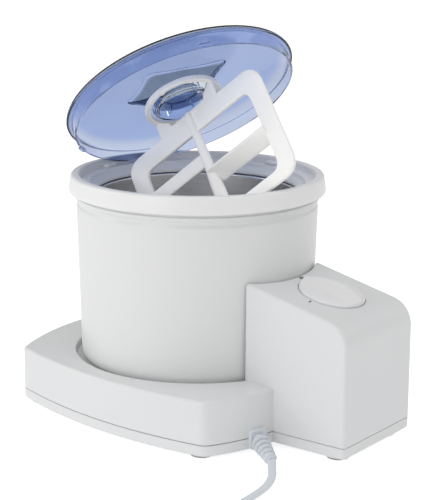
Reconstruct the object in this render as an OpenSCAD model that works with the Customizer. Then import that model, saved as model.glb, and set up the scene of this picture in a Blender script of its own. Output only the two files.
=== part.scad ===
// Countertop ice cream maker: a base with a side motor tower, a round bucket that
// holds a turning freezer bowl, and a see-through lid that carries the mixing arm.
// The origin is on the bowl's axis at the table. +X points at the motor tower.

/* [Base] */
// Height of the deck's edge above the table
deck_h = 45.4; // [43:0.2:60]
// Half length of the deck from the bowl axis to its tail corners
tail_x = 108.5; // [100:0.5:130]
// Half width of the deck at its tail corners
tail_y = 84; // [75:0.5:100]
// Distance from the bowl axis to the front corners
corner_x = 86.4; // [80:0.5:110]
// Half width of the deck at its front corners
corner_y = 103.5; // [100:0.5:125]
// Outward bow of the long sides
side_bow = 13; // [4:0.5:18]
// Outward bow of the tail
tail_bow = 18; // [6:0.5:24]
// Outward bow of the shoulders beside the tower
shoulder_bow = 3; // [1:0.5:6]
// Rounding of the deck's corners in plan
corner_round = 7; // [4:0.5:12]
// Rise of the deck towards the bucket
deck_crown = 1.4; // [0.5:0.1:3]
// Wall of the base and tower
base_wall = 2.5; // [1.8:0.1:3]
// Height of the seam between the housing and its bottom cover
seam_h = 12.3; // [11:0.1:15]
// Height of the bottom cover's underside
cover_h = 3.5; // [3:0.1:5]
// Radius of a rubber foot
foot_r = 8; // [5:0.5:9]

/* [Motor tower] */
// Width of the tower
tower_w = 90.8; // [80:0.2:94]
// Sideways shift of the tower
tower_shift = -2; // [-3:0.5:3]
// Distance from the bowl axis to the tower's end
tower_x = 168.7; // [167:0.2:190]
// Height of the tower's top above the knob axis
tower_h = 110; // [105:0.5:130]
// Slope of the tower's top
tower_slope = 13; // [5:0.5:15]
// Rounding at the end of the top
tower_round = 20; // [10:1:26]
// Rounding of the tower's side edges
tower_edge = 3; // [1:0.5:4]
// Distance from the bowl axis to the near edge of the knob
knob_start = 100; // [95:0.5:110]
// Radius of the knob
knob_r = 25; // [20:0.5:30]
// Height of the knob's grip
grip_h = 9; // [6:0.5:14]

/* [Bucket] */
// Radius of the bucket under its neck
bucket_r = 93.2; // [90:0.2:96]
// Height of the bucket above its seat
bucket_h = 135; // [115:1:160]
// Loss of radius for each millimetre down the bucket
bucket_taper = 0.026; // [0.01:0.002:0.03]
// Wall of the bucket
bucket_wall = 2.2; // [1.6:0.1:3]
// Rounding at the bucket's foot
bucket_round = 8; // [4:0.5:12]
// Depth of the seat in the deck
seat_depth = 3.9; // [3:0.1:6]
// Gap between the bucket and the tower
tower_gap = 0.9; // [0.5:0.1:2]
// Height of the rim ring above the bucket's top edge
rim_over = 9.5; // [8:0.5:14]
// Width of the rim ring beyond the bucket's neck
rim_out = 4.3; // [3:0.1:6]
// Radius of the mouth in the rim ring
mouth_r = 77.2; // [74:0.2:80]

/* [Freezer bowl] */
// Inner radius of the metal liner at the top
liner_r = 75.5; // [70:0.5:76]
// Thickness of the metal liner
liner_wall = 1.2; // [0.8:0.1:2]
// Wall of the bowl's outer shell
bowl_wall = 2; // [1.5:0.1:3]
// Gap between the bowl and the bucket
bowl_gap = 2; // [1:0.1:3]
// Thickness of the cooling fill under the liner
fill_floor = 9; // [6:0.5:14]

/* [Lid] */
// Radius of the lid's skirt
lid_r = 89; // [85:0.5:90]
// Height of the lid's skirt
skirt_h = 10; // [8:0.5:14]
// Height of the dome above the skirt
dome_h = 14; // [10:0.5:18]
// Thickness of the lid
lid_wall = 2; // [1.6:0.1:3]
// Length of the filling funnel's mouth
funnel_l = 66; // [60:1:90]
// Width of the filling funnel's mouth
funnel_w = 45; // [40:1:60]
// Radius of the lid's spout
spout_r = 24; // [20:0.5:25]
// Radius of the hole in the spout
spout_hole_r = 14; // [10:0.5:18]
// Lean of the lid from level
lid_lean = 38; // [30:1:45]

/* [Mixing arm] */
// Inner radius of the arm's ring
ring_r = 27; // [26.5:0.5:30]
// Width of the arm's ring
ring_w = 4; // [3:0.5:6]
// Half width of the arm's frame
arm_half = 70.4; // [60:0.2:72]
// Length from the ring to the frame's lower edge
arm_l = 110; // [100:0.5:120]
// Length from the ring to the frame's upper edge
arm_neck = 14.5; // [13:0.5:24]
// Width of the frame's upper bar
arm_bar = 16; // [12:0.2:20]
// Width of the frame's straps
arm_strap = 14.7; // [10:0.2:18]
// Thickness of the frame
arm_t = 3.6; // [2.5:0.1:5]
// Lean of the arm from level
arm_lean = 44.7; // [40:0.1:48]

/* [Gears] */
// Teeth of the gear under the bowl
drive_teeth = 56; // [52:1:58]
// Teeth of the first idler's pinion
first_pinion = 14; // [12:1:16]
// Teeth of both idlers' wheels
wheel_teeth = 66; // [60:1:68]
// Teeth of the fast pinions
fast_pinion = 12; // [12:1:14]
// Module of the slow pair
slow_module = 1.5; // [1.4:0.05:1.5]
// Module of the middle pair
middle_module = 1; // [0.9:0.05:1]
// Module of the fast pair
fast_module = 0.8; // [0.7:0.05:0.8]
// Width of the slow gear
gear_w = 8; // [6:0.5:10]

/* [Cord] */
// Width of the flat cord
cord_w = 6.2; // [5.5:0.1:7]
// Thickness of the flat cord
cord_t = 3.6; // [3:0.1:4.5]
// Radius of the cord's coil at its middle
coil_r = 33; // [31:1:36]

/* [Fits] */
// Radial clearance of turning shafts
fit_run = 0.05; // [0.02:0.01:0.1]
// Gap between separate pieces
gap = 0.4; // [0.3:0.05:0.8]

/* [Hidden] */

fine = 144;
round_fn = 48;
slim = 0.01;
white = "whitesmoke";

// Heights in the base
seat_z = deck_h - seat_depth;
under_z = seat_z - base_wall;
floor_z = cover_h + base_wall;
plate_z = floor_z + 1;
plate_t = 2;
fast_z = plate_z + plate_t + 1;
fast_w = 5;
middle_z = fast_z + fast_w + 3;
middle_w = 6;
slow_z = middle_z + middle_w + 2;
boss_z = max(under_z - 5, slow_z + gear_w);
pinion_rise = 1;

// Gear places along X
first_x = slow_module * (drive_teeth + first_pinion) / 2;
second_x = first_x + middle_module * (wheel_teeth + fast_pinion) / 2;
motor_x = second_x + fast_module * (wheel_teeth + fast_pinion) / 2;
shaft_r = 4;
axle_r = 3;

// The tower
tower_lo = tower_shift - tower_w / 2;
tower_hi = tower_shift + tower_w / 2;
tower_in = 70;
knob_x = knob_start + knob_r;

// The bucket, its seat and the rim
neck_z = seat_z + bucket_h - 14;
bucket_top = seat_z + bucket_h;
seat_r = bucket_r + 0.8;
arc_r = bucket_r_at(tower_h + (knob_x - tower_in) * tan(tower_slope)) + tower_gap;
rim_top = bucket_top + rim_over;
rim_r = bucket_r + rim_out;
ledge_r = rim_r - 7.3;
ledge_z = rim_top - 5.4;
journal_r = 18;
function bucket_r_at(z) = bucket_r - bucket_taper * (neck_z - z);

// The freezer bowl
bowl_z = seat_z + 10.5;
bowl_top = bucket_top - 5.6;
bowl_r = bucket_r_at(bowl_z) - bucket_wall - bowl_gap;
bowl_rise = bucket_taper;
liner_z = bowl_z + bowl_wall + fill_floor;
liner_draft = 0.025;
coupler_top = bowl_z - 1.5;

// The motor
stator_z = 40;
stator_h = 20;
stator_x0 = motor_x - 24.7;
stator_x1 = motor_x + 37.3;
stator_half = 33;
rotor_r = 13.6;
rotor_gap = 0.6;
motor_post_x = [motor_x - 15.7, motor_x + 32.3];
motor_post_y = 29;
post_r = 4;
bracket_z = [32, 64];
bracket_t = 2;
screw_r = 1.5;
motor_shaft_r = 2.5;

// The lid's place: its low edge stands on the rim's ledge
lid_turn = 158.6;
lid_foot_turn = 159.9;
lid_foot_r = ledge_r - 3.8;
lid_foot = [lid_foot_r * cos(lid_foot_turn), lid_foot_r * sin(lid_foot_turn), ledge_z + 0.5];
lid_at = lid_foot - lid_r * [cos(lid_lean) * cos(lid_turn), cos(lid_lean) * sin(lid_turn), -sin(lid_lean)];

// The arm's place: its ring hangs round the lid's spout
arm_turn = 155.6;
arm_spin = -154.2;
arm_at = lid_at + [-0.3, -1.1, 2.7];
bar_low = 9.8;
rod_r = 3.6;

// The cord
gland_y = -63;
gland_z = 11;
gland_s = 15;
gland_x = corner_x + (corner_y + gland_y) * (shoulder_x() - corner_x) / (corner_y + tower_lo)
    + shoulder_bow * 0.8;
gland_turn = -20;
relief_turn = -33;
relief_drop = 15;
relief_l = 27;
relief_start = [gland_x + 2, gland_y - 1, gland_z];
relief_end = relief_start + relief_l
    * [cos(relief_drop) * cos(relief_turn), cos(relief_drop) * sin(relief_turn), -sin(relief_drop)];
cord_z = cord_t / 2 + 0.2;
cord_points = [
    relief_end, [134, -87, 2.4], [143, -100, cord_z], [150, -117, cord_z],
    [153, -138, cord_z], [154, -165, cord_z], [154, -189, cord_z]
];
coil_at = [187, -207];
coil_w = 2.2 * cord_w;
coil_h = 2.3 * cord_t;
cord_end_points = [
    [220, -190, cord_z], [220, -176, cord_z], [225, -164, cord_z],
    [236, -157, 4], [248, -156, 8]
];
plug_at = [248, -156, 8.2];

// Shared shapes -----------------------------------------------------------------

function shoulder_x() = corner_x + 20.6;

// Points of an arc from a to b that bows to the right by sag, trimmed at both ends
function bowed(a, b, sag, trim, n = 10) =
    let (c = norm(b - a), r = (c * c / 4 + sag * sag) / (2 * sag), half = asin(c / 2 / r))
    let (t = (b - a) / c, out = [t.y, -t.x], o = (a + b) / 2 - out * (r - sag))
    let (k = half * (1 - 2 * trim / c))
    [for (i = [0:n]) let (q = -k + 2 * k * i / n) o + r * (cos(q) * out + sin(q) * t)];

// Points of a rounded corner c between points a and b
function bend(a, c, b, n = 4) =
    [for (i = [1:n - 1]) let (u = i / n) (1 - u) * (1 - u) * a + 2 * u * (1 - u) * c + u * u * b];

function flipped(pts) = [for (i = [len(pts) - 1:-1:0]) [pts[i].x, -pts[i].y]];

// Half of the deck's plan, from the tail corner to the tower, inset by i
function half_plan(i) =
    let (a = [-tail_x + i, -tail_y + i], b = [corner_x - i, -corner_y + i])
    let (s = [shoulder_x() - i, tower_lo])
    let (front = bowed(a, b, side_bow, corner_round), side = bowed(b, s, shoulder_bow, corner_round))
    concat(front, bend(front[len(front) - 1], b, side[0]), side, [s]);

function base_plan(i = 0) =
    let (half = half_plan(i), a = [-tail_x + i, -tail_y + i])
    let (tail = bowed([a.x, -a.y], a, tail_bow, corner_round), n = len(tail) - 1)
    concat(tail, bend(tail[n], a, half[0]), half, flipped(half), flipped(bend(tail[n], a, half[0])));

// Side outline of the tower in X and Z, inset by i
function tower_side(i = 0) =
    let (r = tower_round - i, x = tower_x - tower_round)
    let (z = tower_h - (x - knob_x) * tan(tower_slope) - tower_round / cos(tower_slope))
    concat(
        [[tower_in, seam_h], [tower_x - i, seam_h]],
        [for (k = [0:8]) let (q = (90 - tower_slope) * k / 8) [x + r * cos(q), z + r * sin(q)]],
        [[tower_in, tower_h + (knob_x - tower_in) * tan(tower_slope) - i / cos(tower_slope)]]
    );

module tower_slab(i, side) {
    translate([0, tower_hi - side, 0]) rotate([90, 0, 0])
        linear_extrude(tower_w - 2 * side) polygon(tower_side(i));
}

module on_tower_top() {
    translate([knob_x, 0, tower_h]) rotate([0, tower_slope, 0]) children();
}

module at_lid() {
    translate(lid_at) rotate([0, lid_lean, lid_turn]) children();
}

module at_arm() {
    translate(arm_at) rotate([0, arm_lean, arm_turn]) rotate([0, 0, arm_spin]) children();
}

module at_gland() {
    translate([gland_x, gland_y, gland_z]) rotate([0, 90, gland_turn]) children();
}

module disc(x, z, r, h, n = round_fn) {
    translate([x, 0, z]) cylinder(h = h, r = r, $fn = n);
}

// The room that the bucket takes in the housing, larger by grow
module bucket_room(grow) {
    disc(0, seat_z - grow, seat_r + grow, deck_h + deck_crown + 0.1 - seat_z + grow, fine);
    disc(0, seat_z + 1, arc_r + grow, tower_h, fine);
}

// Sweeps an oval tube of half width r[0] and half height r[1] along points;
// side is any direction off the path
function tangent(p, i) = let (d = p[min(i + 1, len(p) - 1)] - p[max(i - 1, 0)]) d / norm(d);
function unit(v) = v / norm(v);
function smooth(p, n) = concat(
    [for (i = [0:len(p) - 2], k = [0:n - 1])
        let (a = p[max(i - 1, 0)], b = p[i], c = p[i + 1], d = p[min(i + 2, len(p) - 1)], t = k / n)
        0.5 * (2 * b + (c - a) * t + (2 * a - 5 * b + 4 * c - d) * t * t
            + (3 * b - a - 3 * c + d) * t * t * t)],
    [p[len(p) - 1]]);

module tube(p, r, side = [0, 0, 1], n = 10) {
    rings = [for (i = [0:len(p) - 1])
        let (t = tangent(p, i), u = unit(cross(side, t)), v = cross(t, u))
        for (k = [0:n - 1]) p[i] + r[0] * cos(360 * k / n) * u + r[1] * sin(360 * k / n) * v];
    last = (len(p) - 1) * n;
    polyhedron(rings, concat(
        [[for (k = [0:n - 1]) k]],
        [for (i = [0:len(p) - 2], k = [0:n - 1])
            [i * n + k, (i + 1) * n + k, (i + 1) * n + (k + 1) % n, i * n + (k + 1) % n]],
        [[for (k = [n - 1:-1:0]) last + k]]
    ), convexity = 6);
}

// Involute spur gear outline with teeth thinned for backlash
pressure = 20;
addendum = 0.75;
thinning = 0.07;
function roll(r, rb) = r <= rb ? 0 : let (f = sqrt(r * r / (rb * rb) - 1)) f * 180 / PI - atan(f);
function tooth_half(r, teeth, m) =
    let (p = teeth * m / 2, rb = p * cos(pressure))
    90 / teeth - thinning * m / p * 180 / PI + roll(p, rb) - roll(r, rb);
function gear_outline(teeth, m, turn) =
    let (p = teeth * m / 2, rb = p * cos(pressure), top = p + addendum * m)
    let (radii = [p - m, max(rb, p - m) + 0.05 * m, p, top])
    [for (k = [0:teeth - 1], s = [-1, 1], i = [0:3])
        let (r = radii[s < 0 ? i : 3 - i], q = turn + 360 * k / teeth + s * tooth_half(r, teeth, m))
        r * [cos(q), sin(q)]];

module toothed(x, z, teeth, m, h, turn) {
    translate([x, 0, z]) linear_extrude(h) polygon(gear_outline(teeth, m, turn));
}

// Base ---------------------------------------------------------------------------

module deck_solid() {
    base_edge = 2;
    hull() {
        translate([0, 0, seam_h]) linear_extrude(deck_h - base_edge - seam_h) polygon(base_plan());
        for (q = [30, 60, 90])
            translate([0, 0, deck_h - base_edge + base_edge * sin(q) - slim])
                linear_extrude(slim) polygon(base_plan(base_edge * (1 - cos(q))));
        disc(0, seat_z, seat_r + 2, deck_h + deck_crown - seat_z, fine);
    }
}

module tower_solid() {
    hull() for (q = [0, 30, 60, 90])
        tower_slab(tower_edge * (1 - cos(q)), tower_edge * (1 - sin(q)));
}

module base_housing() {
    color(white) difference() {
        union() {
            difference() {
                union() { deck_solid(); tower_solid(); }
                difference() {
                    translate([0, 0, seam_h - 1]) union() {
                        linear_extrude(deck_h - base_wall - seam_h + 1) polygon(base_plan(base_wall));
                        translate([tower_in, tower_lo + base_wall, 0])
                            cube([tower_x - base_wall - tower_in, tower_w - 2 * base_wall, 20]);
                    }
                    bucket_room(base_wall);
                }
                difference() {
                    tower_slab(base_wall, base_wall);
                    bucket_room(base_wall);
                }
            }
            disc(0, boss_z, 9.5, under_z - boss_z + slim);
            for (x = [first_x, second_x]) disc(x, slow_z + gear_w + 1.5, 6, under_z - slow_z - gear_w - 1.5);
        }
        bucket_room(0);
        disc(0, under_z - 6, 6.5, seat_z - under_z + 7);
        for (x = [first_x, second_x]) disc(x, slow_z, axle_r + fit_run, under_z - slow_z);
        on_tower_top() {
            translate([0, 0, -1]) cylinder(h = 5, r = knob_r + gap, $fn = fine);
            translate([0, 0, -6]) cylinder(h = 8, r = 5.1, $fn = round_fn);
        }
        at_gland() gland_block(0.1);
    }
}

module cover_plan(i) {
    polygon(base_plan(i));
    translate([tower_in, tower_lo + i]) square([tower_x - i - tower_in, tower_w - 2 * i]);
}

foot_spots = [
    [corner_x - 12, -corner_y + 13], [corner_x - 12, corner_y - 13],
    [-tail_x + 10, -tail_y + 11], [-tail_x + 10, tail_y - 11],
    [tower_x - 14, tower_lo + 14], [tower_x - 14, tower_hi - 14], [0, 0]
];
screw_spots = [[corner_x - 30, -corner_y + 26], [corner_x - 30, corner_y - 26],
    [-tail_x + 26, -tail_y + 32], [-tail_x + 26, tail_y - 32]];
foot_top = 1.2;

module bottom_cover() {
    color(white) difference() {
        union() {
            difference() {
                translate([0, 0, cover_h]) linear_extrude(seam_h - cover_h) cover_plan(0);
                translate([0, 0, floor_z]) linear_extrude(seam_h) cover_plan(base_wall);
            }
            for (p = foot_spots) translate([p.x, p.y, foot_top])
                cylinder(h = cover_h - foot_top + slim, r1 = foot_r + 1, r2 = foot_r + 3, $fn = round_fn);
            for (p = screw_spots) translate([p.x, p.y, floor_z - slim])
                cylinder(h = seam_h - floor_z, r = 5, $fn = round_fn);
            for (x = motor_post_x, s = [-1, 1])
                translate([x, s * motor_post_y, floor_z - slim])
                    cylinder(h = bracket_z[0] - floor_z + slim, r = post_r, $fn = round_fn);
            for (x = [-30, 20, second_x - 15], s = [-1, 1])
                translate([x, s * 12, floor_z - slim]) cylinder(h = 1 + slim, r = 4, $fn = round_fn);
        }
        for (p = screw_spots) translate([p.x, p.y, 0]) {
            cylinder(h = seam_h + 1, r = screw_r + 0.3, $fn = round_fn);
            cylinder(h = cover_h + 1.5, r = 4, $fn = round_fn);
        }
        for (x = motor_post_x, s = [-1, 1]) translate([x, s * motor_post_y, bracket_z[0] - 10])
            cylinder(h = 11, r = screw_r, $fn = round_fn);
        for (k = [-3:3]) translate([motor_x - 18, k * 6 - 1.5, 0]) cube([30, 3, floor_z + 1]);
        at_gland() gland_block(0.1);
    }
}

module rubber_feet() {
    color("gray") for (p = foot_spots) translate(p) cylinder(h = foot_top, r = foot_r, $fn = round_fn);
}

module cover_screws() {
    color("silver") for (p = screw_spots) translate([p.x, p.y, cover_h + 0.2]) {
        translate([0, 0, 1.3]) cylinder(h = seam_h - cover_h + 4, r = screw_r, $fn = round_fn);
        difference() {
            translate([0, 0, -0.2]) cylinder(h = 1.5, r = 3, $fn = round_fn);
            translate([-2.2, -0.4, -0.3]) cube([4.4, 0.8, 0.7]);
            translate([-0.4, -2.2, -0.3]) cube([0.8, 4.4, 0.7]);
        }
    }
}

// Gear train ---------------------------------------------------------------------

module gear_plate() {
    color("silver") difference() {
        translate([-40, -20, plate_z]) cube([second_x + 52, 40, plate_t]);
        disc(0, plate_z - 1, shaft_r + fit_run, plate_t + 2);
        for (x = [first_x, second_x]) disc(x, plate_z - 1, axle_r, plate_t + 2);
    }
}

module gear_axles() {
    color("lightgray") for (x = [first_x, second_x]) disc(x, plate_z, axle_r, under_z - plate_z - 1);
}

module shaft_bush() {
    color("goldenrod") difference() {
        disc(0, boss_z, 6.5, seat_z + 0.5 - boss_z);
        disc(0, 0, shaft_r + fit_run, deck_h);
    }
}

module drive_gear() {
    color("ivory") difference() {
        union() {
            toothed(0, slow_z, drive_teeth, slow_module, gear_w, 0);
            disc(0, slow_z - 8, 10, 8 + slim);
        }
        disc(0, 0, shaft_r, deck_h);
        for (q = [0:60:300]) rotate(q) disc(24, 0, 7, deck_h);
    }
}

module drive_shaft() {
    color("lightgray") disc(0, floor_z + 0.6, shaft_r, coupler_top - floor_z - 1.6);
}

module drive_coupler() {
    color("ivory") difference() {
        disc(0, seat_z + 1.5, 11, coupler_top - seat_z - 1.5, 6);
        disc(0, 0, shaft_r, coupler_top - 1);
    }
}

module first_gear() {
    pinion_h = slow_z - middle_z - middle_w + gear_w + pinion_rise;
    color("ivory") difference() {
        union() {
            toothed(first_x, middle_z, wheel_teeth, middle_module, middle_w, 0);
            toothed(first_x, middle_z + middle_w - slim, first_pinion, slow_module, pinion_h,
                180 - 180 / first_pinion);
        }
        disc(first_x, 0, axle_r + fit_run, deck_h);
    }
}

module second_gear() {
    pinion_h = middle_z - fast_z - fast_w + middle_w + pinion_rise;
    color("ivory") difference() {
        union() {
            toothed(second_x, fast_z, wheel_teeth, fast_module, fast_w, 0);
            toothed(second_x, fast_z + fast_w - slim, fast_pinion, middle_module, pinion_h,
                180 - 180 / fast_pinion);
        }
        disc(second_x, 0, axle_r + fit_run, deck_h);
    }
}

module motor_pinion() {
    color("goldenrod") difference() {
        toothed(motor_x, fast_z - 1, fast_pinion, fast_module, fast_w + 2, 180 - 180 / fast_pinion);
        disc(motor_x, 0, motor_shaft_r, deck_h);
    }
}

// Motor --------------------------------------------------------------------------

module motor_holes(r) {
    for (x = motor_post_x, s = [-1, 1]) translate([x, s * motor_post_y, 0])
        cylinder(h = 100, r = r, $fn = round_fn);
}

window_x0 = 18.3;
window_x1 = 27.3;
coil_half = 15;

module motor_stator() {
    color("dimgray") difference() {
        translate([stator_x0, -stator_half, stator_z])
            cube([stator_x1 - stator_x0, 2 * stator_half, stator_h]);
        disc(motor_x, 0, rotor_r + rotor_gap, 100, fine);
        translate([motor_x + window_x0, -coil_half - 1, 0])
            cube([window_x1 - window_x0, 2 * coil_half + 2, 100]);
        motor_holes(screw_r + 0.1);
    }
}

module motor_coil() {
    color("sienna") difference() {
        translate([motor_x + window_x0 + 3, -coil_half, stator_z - 5])
            cube([stator_x1 - motor_x - window_x0 + 2, 2 * coil_half, stator_h + 10]);
        translate([motor_x + window_x1, -coil_half - 1, stator_z])
            cube([stator_x1 - motor_x - window_x1, 2 * coil_half + 2, stator_h]);
    }
}

module motor_brackets() {
    color("silver") difference() {
        union() {
            for (z = bracket_z) translate([stator_x0, -stator_half, z])
                cube([motor_x + window_x0 - stator_x0, 2 * stator_half, bracket_t]);
            for (z = bracket_z, s = [-1, 1]) translate([motor_x, s * stator_half - (s > 0 ? 8 : 0), z])
                cube([stator_x1 - motor_x, 8, bracket_t]);
            for (x = motor_post_x, s = [-1, 1]) translate([x, s * motor_post_y, 0]) {
                translate([0, 0, bracket_z[0]])
                    cylinder(h = stator_z - bracket_z[0], r = 3, $fn = round_fn);
                translate([0, 0, stator_z + stator_h])
                    cylinder(h = bracket_z[1] - stator_z - stator_h + slim, r = 3, $fn = round_fn);
            }
            for (z = bracket_z) disc(motor_x, z - 1.5, 6, bracket_t + 3);
        }
        disc(motor_x, 0, motor_shaft_r + fit_run, 100);
        motor_holes(screw_r + 0.1);
    }
}

module motor_screws() {
    top = bracket_z[1] + bracket_t;
    color("silver") for (x = motor_post_x, s = [-1, 1]) translate([x, s * motor_post_y, 0]) {
        translate([0, 0, bracket_z[0] - 8]) cylinder(h = top - bracket_z[0] + 8, r = screw_r, $fn = round_fn);
        translate([0, 0, top]) cylinder(h = 2, r = 2.8, $fn = round_fn);
    }
}

module rotor_core() {
    color("dimgray") difference() {
        disc(motor_x, stator_z - 1, rotor_r, stator_h + 2, fine);
        disc(motor_x, 0, motor_shaft_r, 100);
    }
}

module rotor_shaft() {
    color("lightgray") disc(motor_x, fast_z - 2, motor_shaft_r, bracket_z[1] + 13 - fast_z);
}

module cooling_fan() {
    z = bracket_z[1] + bracket_t + 3;
    color("black") difference() {
        union() {
            disc(motor_x, z, 6, 7);
            disc(motor_x, z, 20, 1);
            for (q = [0:45:315]) translate([motor_x, 0, z]) rotate([0, 0, q]) translate([5, -0.6, 0])
                cube([15, 1.2, 7]);
        }
        disc(motor_x, 0, motor_shaft_r, 100);
    }
}

// Switch and knob ------------------------------------------------------------------

module switch_body() {
    color("black") on_tower_top() difference() {
        union() {
            translate([-12, -12, -18]) cube([24, 24, 12]);
            translate([0, 0, -6.5]) cylinder(h = 5, r = 5, $fn = round_fn);
            for (s = [-1, 1]) translate([s * 6 - 2, 11.9, -14]) cube([4, 6, 1]);
        }
        translate([0, 0, -16]) cylinder(h = 20, r = 3 + fit_run, $fn = round_fn);
    }
}

module knob_spindle() {
    color("lightgray") on_tower_top() translate([0, 0, -15]) cylinder(h = 17, r = 3, $fn = round_fn);
}

module knob() {
    color(white) on_tower_top() difference() {
        union() {
            translate([0, 0, -0.6]) cylinder(h = 2.1, r = knob_r, $fn = fine);
            translate([0, 0, 1.5 - slim]) cylinder(h = 1.5, r1 = knob_r, r2 = knob_r - 4, $fn = fine);
            intersection() {
                translate([0, 0, 1]) cylinder(h = grip_h, r = knob_r - 0.6, $fn = fine);
                hull() {
                    translate([-knob_r, -7, 1]) cube([2 * knob_r, 14, slim]);
                    translate([-knob_r * 0.55, -2.4, grip_h - 1.6]) cube([knob_r * 1.1, 4.8, slim]);
                    translate([-knob_r * 0.42, -1.2, grip_h]) cube([knob_r * 0.84, 2.4, slim]);
                }
            }
        }
        translate([0, 0, -5]) cylinder(h = 7, r = 3, $fn = round_fn);
    }
}

module switch_marks() {
    color("dimgray") on_tower_top() for (q = [0, 90]) rotate([0, 0, q]) translate([-knob_r - 4.2, 0, 0]) {
        if (q == 0) difference() {
            cylinder(h = 0.3, r = 1.5, $fn = 24);
            translate([0, 0, -1]) cylinder(h = 3, r = 0.9, $fn = 24);
        } else translate([-1.5, -0.4, 0]) cube([3, 0.8, 0.3]);
    }
}

// Leads and cord ---------------------------------------------------------------------

module internal_leads() {
    inner = relief_start - 9.6 * [cos(gland_turn), sin(gland_turn), 0];
    side_y = tower_lo + base_wall + 4.5;
    color("saddlebrown") {
        tube(smooth([inner, inner + [-6, 6, 3], [inner.x, side_y - 4, 18], [motor_x - 4, side_y, 26],
            [motor_x + 2, side_y, 45], [motor_x + 4, side_y, 70], [knob_x - 4, side_y + 4, 90],
            [knob_x - 6, -13.8, tower_h - 10]], 3), [1.6, 1.6], [0.3, 1, 0.1], 8);
        tube(smooth([[knob_x + 2, 20, tower_h - 13], [knob_x + 6, 27, tower_h - 24], [motor_x + 22, 24, 76],
            [motor_x + 26, 12, 66]], 3), [1.4, 1.4], [0.2, 1, 0.3], 8);
    }
}

// The gland's square block, larger by grow on every side
module gland_block(grow) {
    s = gland_s / 2 + grow;
    translate([-s, -s, -2]) cube([2 * s, 2 * s, 8]);
    translate([-s + 2.5, -s + 2.5, -base_wall - 4 - grow]) cube([2 * s - 5, 2 * s - 5, base_wall + 4]);
}

module strain_relief() {
    round_r = 3.5;
    s = gland_s / 2;
    step = relief_l / 6;
    color("gainsboro") union() {
        at_gland() {
            hull() for (x = [-1, 1], y = [-1, 1]) translate([x * (s - round_r), y * (s - round_r), -1.9])
                cylinder(h = 4.9, r = round_r, $fn = 32);
            translate([-s + 2.5, -s + 2.5, -base_wall - 4]) cube([2 * s - 5, 2 * s - 5, base_wall + 4]);
        }
        translate(relief_start) rotate([0, 90 + relief_drop, relief_turn]) {
            cylinder(h = relief_l, r1 = 5.4, r2 = 3.9, $fn = round_fn);
            for (k = [1:5]) translate([0, 0, k * step])
                cylinder(h = step * 0.62, r = 7.2 - 0.5 * k, $fn = round_fn);
        }
    }
}

module power_cord() {
    color("gainsboro") tube(smooth(cord_points, 4), [cord_w / 2, cord_t / 2]);
}

module cord_coil() {
    color("gainsboro") translate([coil_at.x, coil_at.y, 0]) rotate_extrude($fn = 96)
        translate([coil_r - coil_w / 2, 0]) square([coil_w, coil_h]);
}

module cord_end() {
    color("gainsboro") tube(smooth(cord_end_points, 3), [cord_w / 2, cord_t / 2]);
}

plug_l = 30;

module plug_body() {
    color("gainsboro") translate(plug_at) {
        rotate([0, 90, 0]) cylinder(h = 12, r1 = 4, r2 = 6, $fn = round_fn);
        translate([10, -11, -plug_at.z]) cube([plug_l - 10, 22, 2 * plug_at.z]);
    }
}

module plug_pins() {
    color("silver") translate(plug_at) for (s = [-1, 1])
        translate([plug_l, s * 6.35 - 0.75, -3.15]) cube([16, 1.5, 6.3]);
}

// Bucket ---------------------------------------------------------------------------

function rounded_foot(r, z, round) = [for (k = [0:6]) let (q = -90 + 15 * k)
    [r - round + round * cos(q), z + round + round * sin(q)]];

module bucket_shell() {
    top_r = bucket_r;
    floor_top = seat_z + 3;
    inner_r = bucket_r_at(seat_z + 12) - bucket_wall;
    bore = journal_r + fit_run;
    color(white) rotate_extrude($fn = fine) polygon(concat(
        [[bore, seat_z]],
        rounded_foot(bucket_r_at(seat_z + bucket_round), seat_z, bucket_round),
        [[top_r, neck_z], [top_r - 0.9, neck_z + 1.5], [top_r - 0.9, neck_z + 4],
         [top_r + 0.8, neck_z + 4.6], [top_r + 0.8, neck_z + 7.4], [top_r, neck_z + 8],
         [top_r, bucket_top], [top_r - bucket_wall, bucket_top],
         [bucket_r_at(neck_z) - bucket_wall, neck_z]],
        [for (k = [6:-1:0]) let (q = -90 + 15 * k, r = bucket_round - bucket_wall)
            [inner_r - r + r * cos(q), floor_top + r + r * sin(q)]],
        [[journal_r + 5, floor_top], [journal_r + 5, bowl_z - 2.5], [bore, bowl_z - 2.5]]
    ));
}

lug_turns = [181, 84, 1, -96];

module rim_ring() {
    skirt_z = bucket_top - 3.9;
    grip_r = bucket_r + 1.4;
    color(white) union() {
        rotate_extrude($fn = fine) polygon([
            [mouth_r, bowl_top + 0.8], [mouth_r + 3, bowl_top + 0.8],
            [bucket_r - bucket_wall - 5, bucket_top], [grip_r, bucket_top],
            [grip_r, skirt_z], [rim_r + 0.9, skirt_z], [rim_r + 1.5, skirt_z + 1.2],
            [rim_r + 1.3, skirt_z + 4], [rim_r, rim_top - 1.6], [rim_r - 0.5, rim_top - 0.5],
            [rim_r - 1.6, rim_top], [ledge_r + 1.2, rim_top], [ledge_r + 0.3, rim_top - 0.5],
            [ledge_r, rim_top - 1.3], [ledge_r, ledge_z], [ledge_r - 7, ledge_z - 0.6],
            [ledge_r - 8, ledge_z - 2.6], [mouth_r + 1, bowl_top + 4], [mouth_r, bowl_top + 3]
        ]);
        for (q = lug_turns) rotate([0, 0, q]) intersection() {
            translate([ledge_r - 5, -6, ledge_z - 0.8]) cube([7, 12, 3]);
            disc(0, 0, ledge_r + 1, rim_top, fine);
        }
    }
}

// Freezer bowl -----------------------------------------------------------------------

function bowl_r_at(z) = bowl_r + bowl_rise * (z - bowl_z);
function liner_r_at(z) = liner_r - liner_draft * (bowl_top - z);
seal_z = bowl_top - liner_wall - 2.4;
fill_top = seal_z - 6;
liner_round = 10;
function liner_foot(grow) = rounded_foot(liner_r_at(liner_z + liner_round) + grow, liner_z - grow,
    liner_round + grow);

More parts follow.
